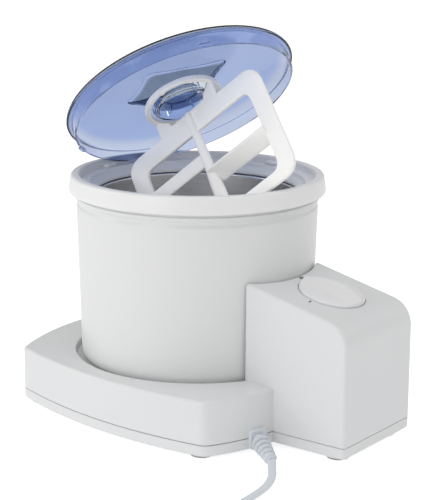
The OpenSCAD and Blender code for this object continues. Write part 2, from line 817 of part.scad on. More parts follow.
module bowl_outer_wall() {
    inner = bowl_r_at(bowl_z) - bowl_wall;
    color(white) rotate_extrude($fn = fine) polygon(concat(
        [[journal_r - 2, bowl_z]], rounded_foot(bowl_r, bowl_z, 6),
        [[bowl_r_at(bowl_top), bowl_top], [bowl_r_at(bowl_top) - bowl_wall, bowl_top],
         [inner, bowl_z + bowl_wall + 4], [inner - 4, bowl_z + bowl_wall],
         [journal_r - 2, bowl_z + bowl_wall]]
    ));
}

module cooling_fill() {
    inner = bowl_r_at(bowl_z) - bowl_wall;
    slope = (bowl_r_at(bowl_top) - bowl_r_at(bowl_z)) / (bowl_top - bowl_z - bowl_wall - 4);
    foot = liner_foot(liner_wall);
    color("lightcyan") rotate_extrude($fn = fine) polygon(concat(
        [[0, bowl_z + bowl_wall], [inner - 4, bowl_z + bowl_wall], [inner, bowl_z + bowl_wall + 4],
         [inner + slope * (fill_top - bowl_z - bowl_wall - 4), fill_top],
         [liner_r_at(fill_top) + liner_wall, fill_top]],
        [for (k = [6:-1:0]) foot[k]], [[0, liner_z - liner_wall]]
    ));
}

module bowl_liner() {
    outer = liner_foot(liner_wall);
    inner = liner_foot(0);
    color("silver") rotate_extrude($fn = fine) polygon(concat(
        [[0, liner_z - liner_wall]], outer,
        [[liner_r_at(bowl_top - liner_wall) + liner_wall, bowl_top - liner_wall],
         [liner_r + 5.2, bowl_top - liner_wall],
         [liner_r + 5.2, bowl_top], [liner_r + 0.6, bowl_top], [liner_r, bowl_top - 0.6]],
        [for (k = [6:-1:0]) inner[k]], [[0, liner_z]]
    ));
}

module bowl_seal() {
    color("darkgray") rotate_extrude($fn = fine) polygon([
        [liner_r + liner_wall, seal_z], [bowl_r_at(bowl_top) - bowl_wall - 0.1, seal_z],
        [bowl_r_at(bowl_top) - bowl_wall - 0.1, bowl_top], [liner_r + 5.2, bowl_top],
        [liner_r + 5.2, bowl_top - liner_wall], [liner_r + liner_wall, bowl_top - liner_wall]
    ]);
}

module bowl_drive_socket() {
    color("ivory") difference() {
        union() {
            disc(0, seat_z + 0.4, journal_r, bowl_z - 1.8 - seat_z - 0.4, fine);
            disc(0, bowl_z - 1.8, journal_r + 8, 1.8, fine);
            disc(0, bowl_z - slim, journal_r - 2, bowl_wall + slim, fine);
        }
        disc(0, seat_z, 11.3, coupler_top + 0.4 - seat_z, 6);
    }
}

// Lid --------------------------------------------------------------------------------

// Outside of the lid's dome, from its flange to its crown, lowered by drop
function dome(drop) = [for (k = [0:8]) let (q = 90 * k / 8, r = lid_r + 2.6 - drop)
    [r - (r - 34) * (1 - cos(q)), skirt_h + 1.6 - drop + (dome_h - 1.6) * sin(q)]];
crown_z = skirt_h + dome_h;
funnel_z = 8;
funnel_turn = -6;
spout_z = 1;

// The funnel narrows from its mouth in the crown to the spout
module funnel_hull(grow, top, low, low_r) {
    rotate([0, 0, funnel_turn]) hull() {
        translate([-funnel_w / 2 - grow, -funnel_l / 2 - grow, crown_z - top])
            cube([funnel_w + 2 * grow, funnel_l + 2 * grow, slim]);
        translate([0, 0, low]) cylinder(h = slim, r = low_r, $fn = 32);
    }
}

module lid() {
    color("cornflowerblue", 0.6) at_lid() union() {
        difference() {
            union() {
                rotate_extrude($fn = fine) polygon(concat(
                    [[lid_r - 1.8, 0], [lid_r, 0], [lid_r, skirt_h], [lid_r + 3.2, skirt_h],
                     [lid_r + 3.2, skirt_h + 1.2]],
                    dome(0), [[0, crown_z], [0, crown_z - lid_wall]],
                    [for (k = [8:-1:1]) dome(lid_wall)[k]], [[lid_r - 1.8, skirt_h]]
                ));
                funnel_hull(lid_wall, 0.4, funnel_z - lid_wall, spout_r + 1.5);
                translate([0, 0, spout_z]) cylinder(h = funnel_z, r = spout_r, $fn = fine);
            }
            funnel_hull(0, -3, funnel_z, spout_r - lid_wall - 1);
            translate([0, 0, spout_z + lid_wall])
                cylinder(h = funnel_z - spout_z, r = spout_r - lid_wall, $fn = fine);
            translate([0, 0, -2]) cylinder(h = 2 * funnel_z, r = spout_hole_r, $fn = fine);
        }
        for (q = [45, 165, 285]) rotate([0, 0, q])
            translate([lid_r - 0.4, -5, 1.5]) cube([1.6, 10, 1.8]);
    }
}

// Mixing arm ---------------------------------------------------------------------------

function rounded_box(x, z0, z1, r, n = 6) = [for (c = [[1, -90], [1, 0], [-1, 90], [-1, 180]], k = [0:n])
    let (q = c[1] + 90 * k / n, up = c[1] == 0 || c[1] == 90)
    [c[0] * (x - r) + r * cos(q), (up ? z1 - r : z0 + r) + r * sin(q)]];

module flat(t, pts) {
    rotate([90, 0, 0]) translate([0, 0, -t / 2]) linear_extrude(t) polygon(pts);
}

module mixing_arm() {
    top = -arm_neck;
    low = -arm_l;
    window_top = top - arm_bar;
    window_low = low + bar_low;
    blade_z = (window_top + window_low) / 2 + 3;
    notch_r = 6;
    color(white) at_arm() union() {
        difference() {
            translate([0, 0, -2.2]) cylinder(h = 4.4, r = ring_r + ring_w, $fn = fine);
            translate([0, 0, -5]) cylinder(h = 10, r = ring_r, $fn = fine);
        }
        difference() {
            union() {
                flat(arm_t, rounded_box(arm_half, low, top, 17));
                flat(arm_t, [[-ring_r - 3.9, top - 8], [ring_r + 3.9, top - 8], [ring_r + 3.9, -1.5],
                    [ring_r, -1.5], [ring_r, -5], [-ring_r, -5], [-ring_r, -1.5], [-ring_r - 3.9, -1.5]]);
            }
            flat(arm_t + 2, rounded_box(arm_half - arm_strap, window_low, window_top, 7));
            flat(arm_t + 2, rounded_box(18.5, top + 5, 20, notch_r));
        }
        translate([0, 0, low + 4]) cylinder(h = top - low - 1, r = rod_r, $fn = round_fn);
        flat(arm_t - 0.6, [[-arm_half + arm_strap - 2, blade_z + 2.6], [0, blade_z + 2.6],
            [0, blade_z + 14.4], [-arm_half + arm_strap - 2, blade_z + 14.4]]);
        translate([0, 0, blade_z - 8]) rotate([-42, 0, 0])
            translate([0, -1.5, -7.5]) cube([arm_half - arm_strap + 2, 3, 15]);
    }
}

base_housing();
bottom_cover();
rubber_feet();
cover_screws();
gear_plate();
gear_axles();
shaft_bush();
drive_gear();
drive_shaft();
drive_coupler();
first_gear();
second_gear();
motor_stator();
motor_coil();
motor_brackets();
motor_screws();
rotor_core();
rotor_shaft();
motor_pinion();
cooling_fan();
switch_body();
knob_spindle();
knob();
switch_marks();
internal_leads();
strain_relief();
power_cord();
cord_coil();
cord_end();
plug_body();
plug_pins();
bucket_shell();
rim_ring();
bowl_outer_wall();
bowl_liner();
cooling_fill();
bowl_seal();
bowl_drive_socket();
lid();
mixing_arm();
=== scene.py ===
import math
import bmesh
import bpy
import numpy as np
from mathutils import Matrix, Vector


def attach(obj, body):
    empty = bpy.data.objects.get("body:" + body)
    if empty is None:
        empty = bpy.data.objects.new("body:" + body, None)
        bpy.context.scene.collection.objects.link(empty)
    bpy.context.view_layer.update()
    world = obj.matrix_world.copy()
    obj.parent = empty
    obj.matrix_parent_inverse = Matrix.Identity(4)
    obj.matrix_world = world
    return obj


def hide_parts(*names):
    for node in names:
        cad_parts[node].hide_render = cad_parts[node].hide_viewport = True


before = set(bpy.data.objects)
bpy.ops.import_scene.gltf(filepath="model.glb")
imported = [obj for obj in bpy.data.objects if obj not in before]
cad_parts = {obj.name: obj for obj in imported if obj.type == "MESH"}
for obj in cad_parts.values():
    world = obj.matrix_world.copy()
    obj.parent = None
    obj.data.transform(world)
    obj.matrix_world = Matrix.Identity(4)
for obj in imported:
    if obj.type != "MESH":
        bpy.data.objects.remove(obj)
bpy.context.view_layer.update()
mm = 0.001
print("frame loaded:", len(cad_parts), "nodes")

# Camera and light

view = {
    "place": (0.735666, -0.956148, 0.413956),
    "right": (0.79841, 0.60208, 0.00611),
    "up": (-0.14533, 0.18285, 0.97234),
    "lens": 114.71,
}


def makeCamera():
    # the camera's axes are its right, its up and the reverse of its line of sight
    right, up = Vector(view["right"]), Vector(view["up"])
    turn = Matrix((right, up, right.cross(up))).transposed().to_4x4()
    data = bpy.data.cameras.new("studioCamera")
    data.lens = view["lens"]
    camera = bpy.data.objects.new("studioCamera", data)
    camera.matrix_world = Matrix.Translation(view["place"]) @ turn
    bpy.context.collection.objects.link(camera)
    bpy.context.scene.camera = camera


lamps = {
    "key": {"at": (-1.5, -1.0, 0.9), "size": 0.9, "watts": 6.2},
    "front": {"at": (0.0, -1.9, 0.85), "size": 1.0, "watts": 7.6},
    "top": {"at": (0.35, -0.3, 1.9), "size": 1.2, "watts": 5.4},
    "side": {"at": (1.2, 1.1, 1.5), "size": 0.9, "watts": 5},
}


def makeLamp(name, at, size, watts):
    data = bpy.data.lights.new(name, "AREA")
    data.size, data.energy = size, watts
    lamp = bpy.data.objects.new(name, data)
    lamp.location = at
    aim = Vector((0.02, 0, 0.12)) - Vector(at)
    lamp.rotation_euler = aim.to_track_quat("-Z", "Y").to_euler()
    bpy.context.collection.objects.link(lamp)


makeCamera()
for lampName, lamp in lamps.items():
    makeLamp(lampName, **lamp)
bpy.context.scene.view_settings.view_transform = "Standard"
world = bpy.data.worlds.new("studioWorld")
world.use_nodes = True
world.node_tree.nodes["Background"].inputs["Color"].default_value = (1.0, 1.0, 1.0, 1)
world.node_tree.nodes["Background"].inputs["Strength"].default_value = 0.55
bpy.context.scene.world = world
print("camera and light made")

# Surfaces


def gridFaces(rows, cols, closed):
    # four corners of every cell of a grid; closed joins the last column to the first
    r = np.arange(rows - 1)[:, None]
    c = np.arange(cols if closed else cols - 1)[None, :]
    n = (c + 1) % cols
    corners = [r * cols + c, r * cols + n, (r + 1) * cols + n, (r + 1) * cols + c]
    return np.stack(corners, -1).reshape(-1, 4)


def makeMesh(name, grids, shell=True, crease=38):
    # grids of points in millimetres become one mesh; doubled points at seams and poles are merged
    points, faces, start = [], [], 0
    for grid, closed in grids:
        rows, cols = grid.shape[:2]
        points.append(grid.reshape(-1, 3))
        faces.append(gridFaces(rows, cols, closed) + start)
        start += rows * cols
    mesh = bpy.data.meshes.new(name)
    mesh.from_pydata((np.concatenate(points) * mm).tolist(), [], np.concatenate(faces).tolist())
    work = bmesh.new()
    work.from_mesh(mesh)
    bmesh.ops.remove_doubles(work, verts=work.verts, dist=2e-6)
    if shell:
        bmesh.ops.recalc_face_normals(work, faces=work.faces)
    work.to_mesh(mesh)
    work.free()
    mesh.shade_smooth()
    mesh.set_sharp_from_angle(angle=math.radians(crease))
    return mesh


def makeObject(name, mesh):
    piece = bpy.data.objects.new(name, mesh)
    bpy.context.collection.objects.link(piece)
    return piece


def finishPiece(piece, body, material, nodes=()):
    piece.data.materials.clear()
    piece.data.materials.append(material)
    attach(piece, body)
    if nodes:
        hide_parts(*nodes)
    return piece


def settle(piece):
    # the piece's modifiers are worked into its mesh
    graph = bpy.context.evaluated_depsgraph_get()
    mesh = bpy.data.meshes.new_from_object(piece.evaluated_get(graph))
    piece.modifiers.clear()
    piece.data = mesh
    return piece


def thicken(piece, wall, alongNormals=False):
    # the wall grows against the normals, or along them where the rows run the other way, as the tower's do
    shell = piece.modifiers.new("wall", "SOLIDIFY")
    shell.thickness = wall * mm
    shell.offset = 1 if alongNormals else -1
    return settle(piece)


def carve(piece, *cutters):
    for cutter in cutters:
        cut = piece.modifiers.new("cut", "BOOLEAN")
        cut.operation, cut.solver, cut.object = "DIFFERENCE", "EXACT", cutter
    settle(piece)
    for cutter in cutters:
        bpy.data.objects.remove(cutter)
    piece.data.shade_smooth()
    piece.data.set_sharp_from_angle(angle=math.radians(38))
    return piece


def unit(v):
    return v / np.linalg.norm(v, axis=-1, keepdims=True)


def bearings(count):
    # angles at even steps round a circle, in radians
    return np.linspace(0, 2 * np.pi, count, endpoint=False)


def level(run, z):
    # the points of a plan line, all at height z
    return np.concatenate([run, np.full((len(run), 1), z)], 1)


def capped(body):
    # the first and last rows are closed to their middles
    ends = [np.repeat(body[k].mean(0)[None, None], body.shape[1], 1) for k in (0, -1)]
    return np.concatenate([ends[0], body, ends[1]])


def soften(corners, reach, steps=7, closed=True, hold=0.5):
    # every corner of a path becomes a short parabola that starts and ends reach away from it,
    # with a point a little further out on each side that keeps the flats flat
    p = np.asarray(corners, float)
    r = np.broadcast_to(np.asarray(reach, float), len(p)).copy()
    before, after = np.roll(p, 1, 0) - p, np.roll(p, -1, 0) - p
    if not closed:
        r[0] = r[-1] = 0
        before[0], after[-1] = after[0], before[-1]
    lb, la = np.linalg.norm(before, axis=1), np.linalg.norm(after, axis=1)
    r = np.minimum(r, 0.46 * np.minimum(lb, la))
    u = np.linspace(0, 1, steps)[None, :, None]
    a, b = p + before * (r / lb)[:, None], p + after * (r / la)[:, None]
    arc = (1 - u) ** 2 * a[:, None] + 2 * u * (1 - u) * p[:, None] + u * u * b[:, None]
    more = np.minimum(hold, 0.04 * np.minimum(lb, la))
    if not closed:
        more[0] = more[-1] = 0
    a2, b2 = p + before * ((r + more) / lb)[:, None], p + after * ((r + more) / la)[:, None]
    return np.concatenate([a2[:, None], arc, b2[:, None]], 1).reshape(-1, p.shape[1])


def revolve(profile, count=192, about=(0.0, 0.0)):
    # a profile of radius and height carried round a vertical axis
    q = bearings(count)[None, :]
    r, z = profile[:, 0, None], profile[:, 1, None]
    return np.stack([about[0] + r * np.cos(q), about[1] + r * np.sin(q), z + 0 * q], -1), True


def ring(profile):
    # a closed profile: the last row meets the first
    return np.concatenate([profile, profile[:1]])


def turned(points, at=(0, 0, 0), z1=0.0, y=0.0, z0=0.0):
    # points turned about Z by z0, about Y by y and about Z by z1, in degrees, then moved to at
    def spin(axis, angle):
        return np.array(Matrix.Rotation(math.radians(angle), 3, axis))
    m = spin("Z", z1) @ spin("Y", y) @ spin("Z", z0)
    return points @ m.T + np.asarray(at, float)


def oval(half, count=28, power=2.6):
    # a superellipse with half sizes half[0] and half[1]
    q = bearings(count)
    c, s = np.cos(q), np.sin(q)
    return np.stack([half[0] * np.sign(c) * np.abs(c) ** (2 / power),
                     half[1] * np.sign(s) * np.abs(s) ** (2 / power)], -1)


def sweep(path, section, side=(0, 0, 1)):
    # a closed section carried along a path; its first axis lies across the path and across side.
    # section may hold one outline per point of the path. The two ends are closed to their middles.
    path = np.asarray(path, float)
    ahead = unit(np.gradient(path, axis=0))
    across = unit(np.cross(np.asarray(side, float), ahead))
    over = np.cross(ahead, across)
    section = np.broadcast_to(section, (len(path),) + section.shape[-2:])
    body = path[:, None] + section[..., :1] * across[:, None] + section[..., 1:] * over[:, None]
    ends = [np.repeat(path[k][None, None], section.shape[1], 1) for k in (0, -1)]
    return np.concatenate([ends[0], body, ends[1]]), True


def smoothPath(points, step):
    # a Catmull-Rom curve through the points, with a point at about every step along it
    p = np.asarray(points, float)
    p = np.concatenate([2 * p[:1] - p[1:2], p, 2 * p[-1:] - p[-2:-1]])
    t = np.linspace(0, 1, 24, endpoint=False)[None, :, None]
    a, b, c, d = p[:-3, None], p[1:-2, None], p[2:-1, None], p[3:, None]
    fine = 0.5 * (2 * b + (c - a) * t + (2 * a - 5 * b + 4 * c - d) * t ** 2
                  + (3 * b - a - 3 * c + d) * t ** 3)
    fine = np.concatenate([fine.reshape(-1, p.shape[1]), p[-2:-1]])
    return spaced(fine, step)


def spaced(line, step):
    # the same line with even steps
    along = np.concatenate([[0], np.cumsum(np.linalg.norm(np.diff(line, axis=0), axis=1))])
    at = np.linspace(0, along[-1], max(2, int(round(along[-1] / step)) + 1))
    return np.stack([np.interp(at, along, line[:, k]) for k in range(line.shape[1])], -1)


def bowed(a, b, sag, count=24):
    # points from a to b on a shallow curve that stands sag to the right of the chord at its middle
    a, b = np.asarray(a, float), np.asarray(b, float)
    t = np.linspace(0, 1, count)[:, None]
    d = (b - a) / np.linalg.norm(b - a)
    return a + (b - a) * t + np.array([d[1], -d[0]]) * sag * 4 * t * (1 - t)


def plateLoop(outer, inner, thick, edge=1.1, count=6):
    # a flat band between an outer and an inner line, rounded along all four edges.
    # lines are rows of (x, z); the band is thick along y
    wide = np.linalg.norm(outer - inner, axis=1)[:, None]
    q = np.linspace(0, np.pi / 2, count)
    a = np.concatenate([edge * (1 - np.cos(q)), edge * (1 - np.sin(q))])
    fromOut = np.concatenate([np.full(count, 1), np.full(count, 0)])
    y = np.concatenate([thick / 2 - edge + edge * np.sin(q), thick / 2 - edge + edge * np.cos(q)])
    share = np.where(fromOut == 1, a / wide, 1 - a[None, :] / wide)
    share = np.concatenate([share, share[:, ::-1]], 1)
    y = np.concatenate([y, -y[::-1]])
    flat = outer[:, None] * (1 - share[..., None]) + inner[:, None] * share[..., None]
    return np.stack([flat[..., 0], np.broadcast_to(y, flat.shape[:2]), flat[..., 1]], -1)


# Finishes


def newGroup(name, inputs, outputs):
    group = bpy.data.node_groups.new(name, "ShaderNodeTree")
    for label, kind, value in inputs:
        group.interface.new_socket(label, in_out="INPUT", socket_type=kind).default_value = value
    for label, kind in outputs:
        group.interface.new_socket(label, in_out="OUTPUT", socket_type=kind)
    return group, group.nodes.new("NodeGroupInput"), group.nodes.new("NodeGroupOutput")


def node(tree, kind, values=None, **settings):
    made = tree.nodes.new(kind)
    for key, value in settings.items():
        setattr(made, key, value)
    for key, value in (values or {}).items():
        made.inputs[key].default_value = value
    return made


def mapRange(tree, source, low, high, fromLow=0.3, fromHigh=0.7):
    made = node(tree, "ShaderNodeMapRange", {"From Min": fromLow, "From Max": fromHigh})
    for key, value in (("To Min", low), ("To Max", high)):
        if hasattr(value, "links"):
            tree.links.new(value, made.inputs[key])
        else:
            made.inputs[key].default_value = value
    tree.links.new(source, made.inputs["Value"])
    return made.outputs["Result"]


def mixColour(tree, factor, a, b):
    made = node(tree, "ShaderNodeMix", data_type="RGBA")
    for key, value in ((6, a), (7, b), (0, factor)):
        if hasattr(value, "links"):
            tree.links.new(value, made.inputs[key])
        else:
            made.inputs[key].default_value = value
    return made.outputs[2]


def mouldedGroup():
    # moulded plastic: slow clouds in the colour, fine grain in the relief, handled patches in the gloss
    group, start, end = newGroup("mouldedPlastic", [
        ("Colour", "NodeSocketColor", (0.8, 0.8, 0.8, 1)), ("Shade", "NodeSocketColor", (0.7, 0.7, 0.7, 1)),
        ("Grain Scale", "NodeSocketFloat", 900.0), ("Roughness", "NodeSocketFloat", 0.35),
        ("Spread", "NodeSocketFloat", 0.06)],
        [("Colour", "NodeSocketColor"), ("Roughness", "NodeSocketFloat"), ("Height", "NodeSocketFloat")])
    link, place = group.links.new, node(group, "ShaderNodeTexCoord")
    clouds = node(group, "ShaderNodeTexNoise", {"Scale": 9.0, "Detail": 3.0, "Roughness": 0.55})
    grain = node(group, "ShaderNodeTexNoise", {"Detail": 2.0, "Roughness": 0.6})
    patches = node(group, "ShaderNodeTexNoise", {"Scale": 14.0, "Detail": 1.5, "Roughness": 0.45})
    for texture in (clouds, grain, patches):
        link(place.outputs["Object"], texture.inputs["Vector"])
    link(start.outputs["Grain Scale"], grain.inputs["Scale"])
    link(mixColour(group, mapRange(group, clouds.outputs["Fac"], 0.0, 1.0), start.outputs["Colour"],
                   start.outputs["Shade"]), end.inputs["Colour"])
    top = node(group, "ShaderNodeMath", operation="ADD")
    link(start.outputs["Roughness"], top.inputs[0])
    link(start.outputs["Spread"], top.inputs[1])
    link(mapRange(group, patches.outputs["Fac"], start.outputs["Roughness"], top.outputs[0]),
         end.inputs["Roughness"])
    link(grain.outputs["Fac"], end.inputs["Height"])
    return group


def turnedGroup():
    # turned or drawn metal: fine rings about a piece's axis, crossed by slow stains
    group, start, end = newGroup("turnedMetal", [
        ("Colour", "NodeSocketColor", (0.8, 0.8, 0.8, 1)), ("Shade", "NodeSocketColor", (0.6, 0.6, 0.6, 1)),
        ("Ring Scale", "NodeSocketFloat", 900.0), ("Roughness", "NodeSocketFloat", 0.25),
        ("Spread", "NodeSocketFloat", 0.12)],
        [("Colour", "NodeSocketColor"), ("Roughness", "NodeSocketFloat"), ("Height", "NodeSocketFloat")])
    link, place = group.links.new, node(group, "ShaderNodeTexCoord")
    parts = node(group, "ShaderNodeSeparateXYZ")
    link(place.outputs["Object"], parts.inputs[0])
    flat = node(group, "ShaderNodeCombineXYZ")
    link(parts.outputs["X"], flat.inputs["X"])
    link(parts.outputs["Y"], flat.inputs["Y"])
    away = node(group, "ShaderNodeVectorMath", operation="LENGTH")
    link(flat.outputs[0], away.inputs[0])
    lines = node(group, "ShaderNodeCombineXYZ")
    link(away.outputs["Value"], lines.inputs["X"])
    link(parts.outputs["Z"], lines.inputs["Y"])
    rings = node(group, "ShaderNodeTexNoise", {"Detail": 3.0, "Roughness": 0.7})
    link(lines.outputs[0], rings.inputs["Vector"])
    link(start.outputs["Ring Scale"], rings.inputs["Scale"])
    stains = node(group, "ShaderNodeTexNoise", {"Scale": 22.0, "Detail": 4.0, "Roughness": 0.6})
    link(place.outputs["Object"], stains.inputs["Vector"])
    link(mixColour(group, mapRange(group, stains.outputs["Fac"], 0.0, 1.0), start.outputs["Colour"],
                   start.outputs["Shade"]), end.inputs["Colour"])
    top = node(group, "ShaderNodeMath", operation="ADD")
    link(start.outputs["Roughness"], top.inputs[0])
    link(start.outputs["Spread"], top.inputs[1])
    link(mapRange(group, rings.outputs["Fac"], start.outputs["Roughness"], top.outputs[0]),
         end.inputs["Roughness"])
    link(rings.outputs["Fac"], end.inputs["Height"])
    return group


lid = {"at": (-15.84, 4.1, 235.89), "lean": 38.0, "turn": 158.6, "r": 89.0, "skirt": 10.0, "crown": 24.0,
       "wall": 1.9, "spout": 24.0,
       "mouth": [(-15, 32), (-30, -32), (16, -34), (30, 32)], "pinch": 3.5}
moulded, metal = mouldedGroup(), turnedGroup()


def finish(name, colour, shade, group=moulded, scale=900.0, rough=0.35, spread=0.06, relief=0.00002,
           bump=0.25, metallic=0.0, **constants):
    material = bpy.data.materials.new(name)
    material.use_nodes = True
    tree = material.node_tree
    surface = tree.nodes["Principled BSDF"]
    skin = node(tree, "ShaderNodeGroup", node_tree=group)
    skin.inputs["Colour"].default_value = (*colour, 1)
    skin.inputs["Shade"].default_value = (*shade, 1)
    skin.inputs[2].default_value = scale
    skin.inputs["Roughness"].default_value = rough
    skin.inputs["Spread"].default_value = spread
    tree.links.new(skin.outputs["Colour"], surface.inputs["Base Color"])
    tree.links.new(skin.outputs["Roughness"], surface.inputs["Roughness"])
    raised = node(tree, "ShaderNodeBump", {"Strength": bump, "Distance": relief})
    tree.links.new(skin.outputs["Height"], raised.inputs["Height"])
    tree.links.new(raised.outputs["Normal"], surface.inputs["Normal"])
    surface.inputs["Metallic"].default_value = metallic
    for key, value in constants.items():
        surface.inputs[key].default_value = value
    return material


def lidZones():
    # masks by the height h and radius r of a point in the lid's own axes, in millimetres: the funnel is r
    # under
    # 50 with h from 9 to 19, the spout r under 30 with h under 9, the rim r over 84, each with a soft
    # border
    group, start, end = newGroup("lidZones", [], [("Funnel", "NodeSocketFloat"),
                                                  ("Spout Painted Light", "NodeSocketFloat"),
                                                 ("Rim", "NodeSocketFloat")])
    link, place = group.links.new, node(group, "ShaderNodeTexCoord")
    own = node(group, "ShaderNodeVectorMath", operation="SUBTRACT")
    own.inputs[1].default_value = [v * mm for v in lid["at"]]
    link(place.outputs["Object"], own.inputs[0])
    parts = []
    for axis in ((1, 0, 0), (0, 1, 0), (0, 0, 1)):
        along = node(group, "ShaderNodeVectorMath", operation="DOT_PRODUCT")
        along.inputs[1].default_value = turned(np.array(axis, float), z1=lid["turn"], y=lid["lean"])
        link(own.outputs[0], along.inputs[0])
        parts.append(along.outputs["Value"])
    flat = node(group, "ShaderNodeCombineXYZ")
    link(parts[0], flat.inputs["X"])
    link(parts[1], flat.inputs["Y"])
    away = node(group, "ShaderNodeVectorMath", operation="LENGTH")
    link(flat.outputs[0], away.inputs[0])

    def both(a, b):
        made = node(group, "ShaderNodeMath", operation="MULTIPLY")
        link(a, made.inputs[0])
        link(b, made.inputs[1])
        return made.outputs[0]

    inner = mapRange(group, away.outputs["Value"], 1.0, 0.0, 0.048, 0.052)
    under = mapRange(group, parts[2], 1.0, 0.0, 0.0188, 0.0196)
    above = mapRange(group, parts[2], 0.0, 1.0, 0.0085, 0.0095)
    below = mapRange(group, parts[2], 1.0, 0.0, 0.0085, 0.0095)
    near = mapRange(group, away.outputs["Value"], 1.0, 0.0, 0.028, 0.032)
    link(both(inner, both(under, above)), end.inputs["Funnel"])
    link(both(near, below), end.inputs["Spout Painted Light"])
    link(mapRange(group, away.outputs["Value"], 0.0, 1.0, 0.081, 0.087), end.inputs["Rim"])
    return group


def lidFinish():
    # see-through blue plastic that darkens where it is seen edge on, denser in the funnel; the spout is
    # painted paler, painted light that stands in for the brightness seen there
    material = finish("clearBlueLid", (0.43, 0.54, 0.86), (0.42, 0.53, 0.85), scale=300.0, rough=0.02,
                      spread=0.03, bump=0.1, IOR=1.25)
    tree = material.node_tree
    surface = tree.nodes["Principled BSDF"]
    surface.inputs["Transmission Weight"].default_value = 1.0
    zones = node(tree, "ShaderNodeGroup", node_tree=lidZones())
    facing = node(tree, "ShaderNodeLayerWeight", {"Blend": 0.5})
    edge = mapRange(tree, facing.outputs["Facing"], 0.0, 1.0, 0.84, 0.99)
    colour = surface.inputs["Base Color"].links[0].from_socket
    colour = mixColour(tree, zones.outputs["Funnel"], colour, (0.19, 0.25, 0.38, 1))
    # painted light: the spout's paler blue is painted brightness, not a paler plastic
    colour = mixColour(tree, zones.outputs["Spout Painted Light"], colour, (0.82, 0.88, 0.96, 1))
    colour = mixColour(tree, zones.outputs["Rim"], colour, (0.60, 0.68, 0.88, 1))
    tree.links.new(mixColour(tree, edge, colour, (0.035, 0.05, 0.16, 1)), surface.inputs["Base Color"])
    return material


finishes = {
    "whiteShell": finish("whiteShell", (0.73, 0.735, 0.74), (0.715, 0.722, 0.728), rough=0.34),
    "whiteBucket": finish("whiteBucket", (0.72, 0.722, 0.725), (0.714, 0.717, 0.72), rough=0.3,
                          spread=0.01),
    "whiteRim": finish("whiteRim", (0.79, 0.79, 0.79), (0.782, 0.783, 0.784), rough=0.3, spread=0.03),
    "whiteArm": finish("whiteArm", (0.93, 0.92, 0.90), (0.92, 0.91, 0.892), rough=0.3),
    "whiteKnob": finish("whiteKnob", (0.79, 0.79, 0.80), (0.78, 0.782, 0.792), rough=0.28),
    "clearLid": lidFinish(),
    "liner": finish("drawnAluminium", (0.93, 0.92, 0.91), (0.82, 0.82, 0.82), metal, 700.0, 0.24, 0.16,
                    metallic=1.0),
    "gel": finish("coolingGel", (0.52, 0.66, 0.72), (0.42, 0.58, 0.68), rough=0.3, scale=120.0),
    "seal": finish("sealRubber", (0.05, 0.052, 0.055), (0.04, 0.042, 0.045), rough=0.6),
    "foot": finish("footRubber", (0.42, 0.42, 0.425), (0.36, 0.36, 0.365), rough=0.7, scale=1600.0),
    "gear": finish("gearPlastic", (0.78, 0.75, 0.66), (0.73, 0.70, 0.60), rough=0.38),
    "steel": finish("platedSteel", (0.62, 0.62, 0.63), (0.5, 0.5, 0.52), metal, 1100.0, 0.28, 0.14,
                    metallic=1.0),
    "lamination": finish("laminationSteel", (0.2, 0.2, 0.21), (0.14, 0.14, 0.15), metal, 2000.0, 0.42, 0.15,
                         metallic=1.0),
    "tape": finish("coilTape", (0.42, 0.22, 0.05), (0.33, 0.16, 0.04), rough=0.45, scale=700.0),
    "brass": finish("bushBrass", (0.66, 0.48, 0.2), (0.52, 0.36, 0.15), metal, 1000.0, 0.3, 0.15,
                    metallic=1.0),
    "pin": finish("pinBrass", (0.74, 0.6, 0.34), (0.62, 0.48, 0.26), metal, 900.0, 0.22, 0.12,
                  metallic=1.0),
    "black": finish("blackPlastic", (0.03, 0.03, 0.032), (0.022, 0.022, 0.024), rough=0.45),
    "print": finish("greyPrint", (0.1, 0.1, 0.105), (0.08, 0.08, 0.084), rough=0.6),
    "lead": finish("leadInsulation", (0.33, 0.13, 0.06), (0.27, 0.1, 0.05), rough=0.5),
    "vinyl": finish("paleVinyl", (0.70, 0.735, 0.78), (0.66, 0.70, 0.75), rough=0.42, scale=1400.0),
}
print("finishes made:", len(finishes))

# Cord

cord = {
    "wide": 6.2, "thick": 3.6, "drop": 15.0, "turn": -33.0, "reliefLong": 27.0,
    "reliefAt": (105.67, -64.0, 11.0), "glandAt": (103.67, -63.0, 11.0), "glandTurn": -20.0,
    "route": [[134, -87, 2.4], [143, -100, 2.0], [150, -117, 2.0], [153, -138, 2.0], [154, -165, 2.0],
              [154, -189, 2.0]],
    "coilAt": (187.0, -207.0), "coilRadius": 33.0, "turns": 3.5,
    "tail": [[220, -190, 2.0], [220, -176, 2.0], [225, -164, 2.0], [236, -157, 4.0], [248, -156, 8.0]],
    "plugAt": (248.0, -156.0, 8.2),
}
reliefWay = turned(np.array([1.0, 0, 0]), z1=cord["turn"], y=cord["drop"])
reliefEnd = np.array(cord["reliefAt"]) + cord["reliefLong"] * reliefWay


def coilLine():
    # turns side by side: the radius swings out and in while the line climbs one thickness half way
    turn = np.linspace(0, cord["turns"], int(44 * cord["turns"]) + 1)
    q = 2 * np.pi * turn
    climb = np.clip((turn - 1.62) / 0.36, 0, 1)
    fall = np.clip((turn - 3.15) / 0.35, 0, 1)
    swing = np.interp(turn, [0, 0.3, 0.85, 1.15, 2.35, 2.65, 3.2, 3.5],
                      [0, 3.25, 3.25, -3.25, -3.25, 3.25, 3.25, 0])
    r = cord["coilRadius"] + swing
    z = 2.0 + 3.9 * climb ** 2 * (3 - 2 * climb) - 3.9 * fall ** 2 * (3 - 2 * fall)
    return np.stack([cord["coilAt"][0] - r * np.cos(q), cord["coilAt"][1] - r * np.sin(q), z], -1)


def cordLine():
    start = reliefEnd - 3 * reliefWay
    lead = smoothPath([start, reliefEnd] + cord["route"], 2.5)
    tail = smoothPath(cord["tail"], 2.5)
    return spaced(np.concatenate([lead[:-1], coilLine(), tail[1:]]), 2.4)


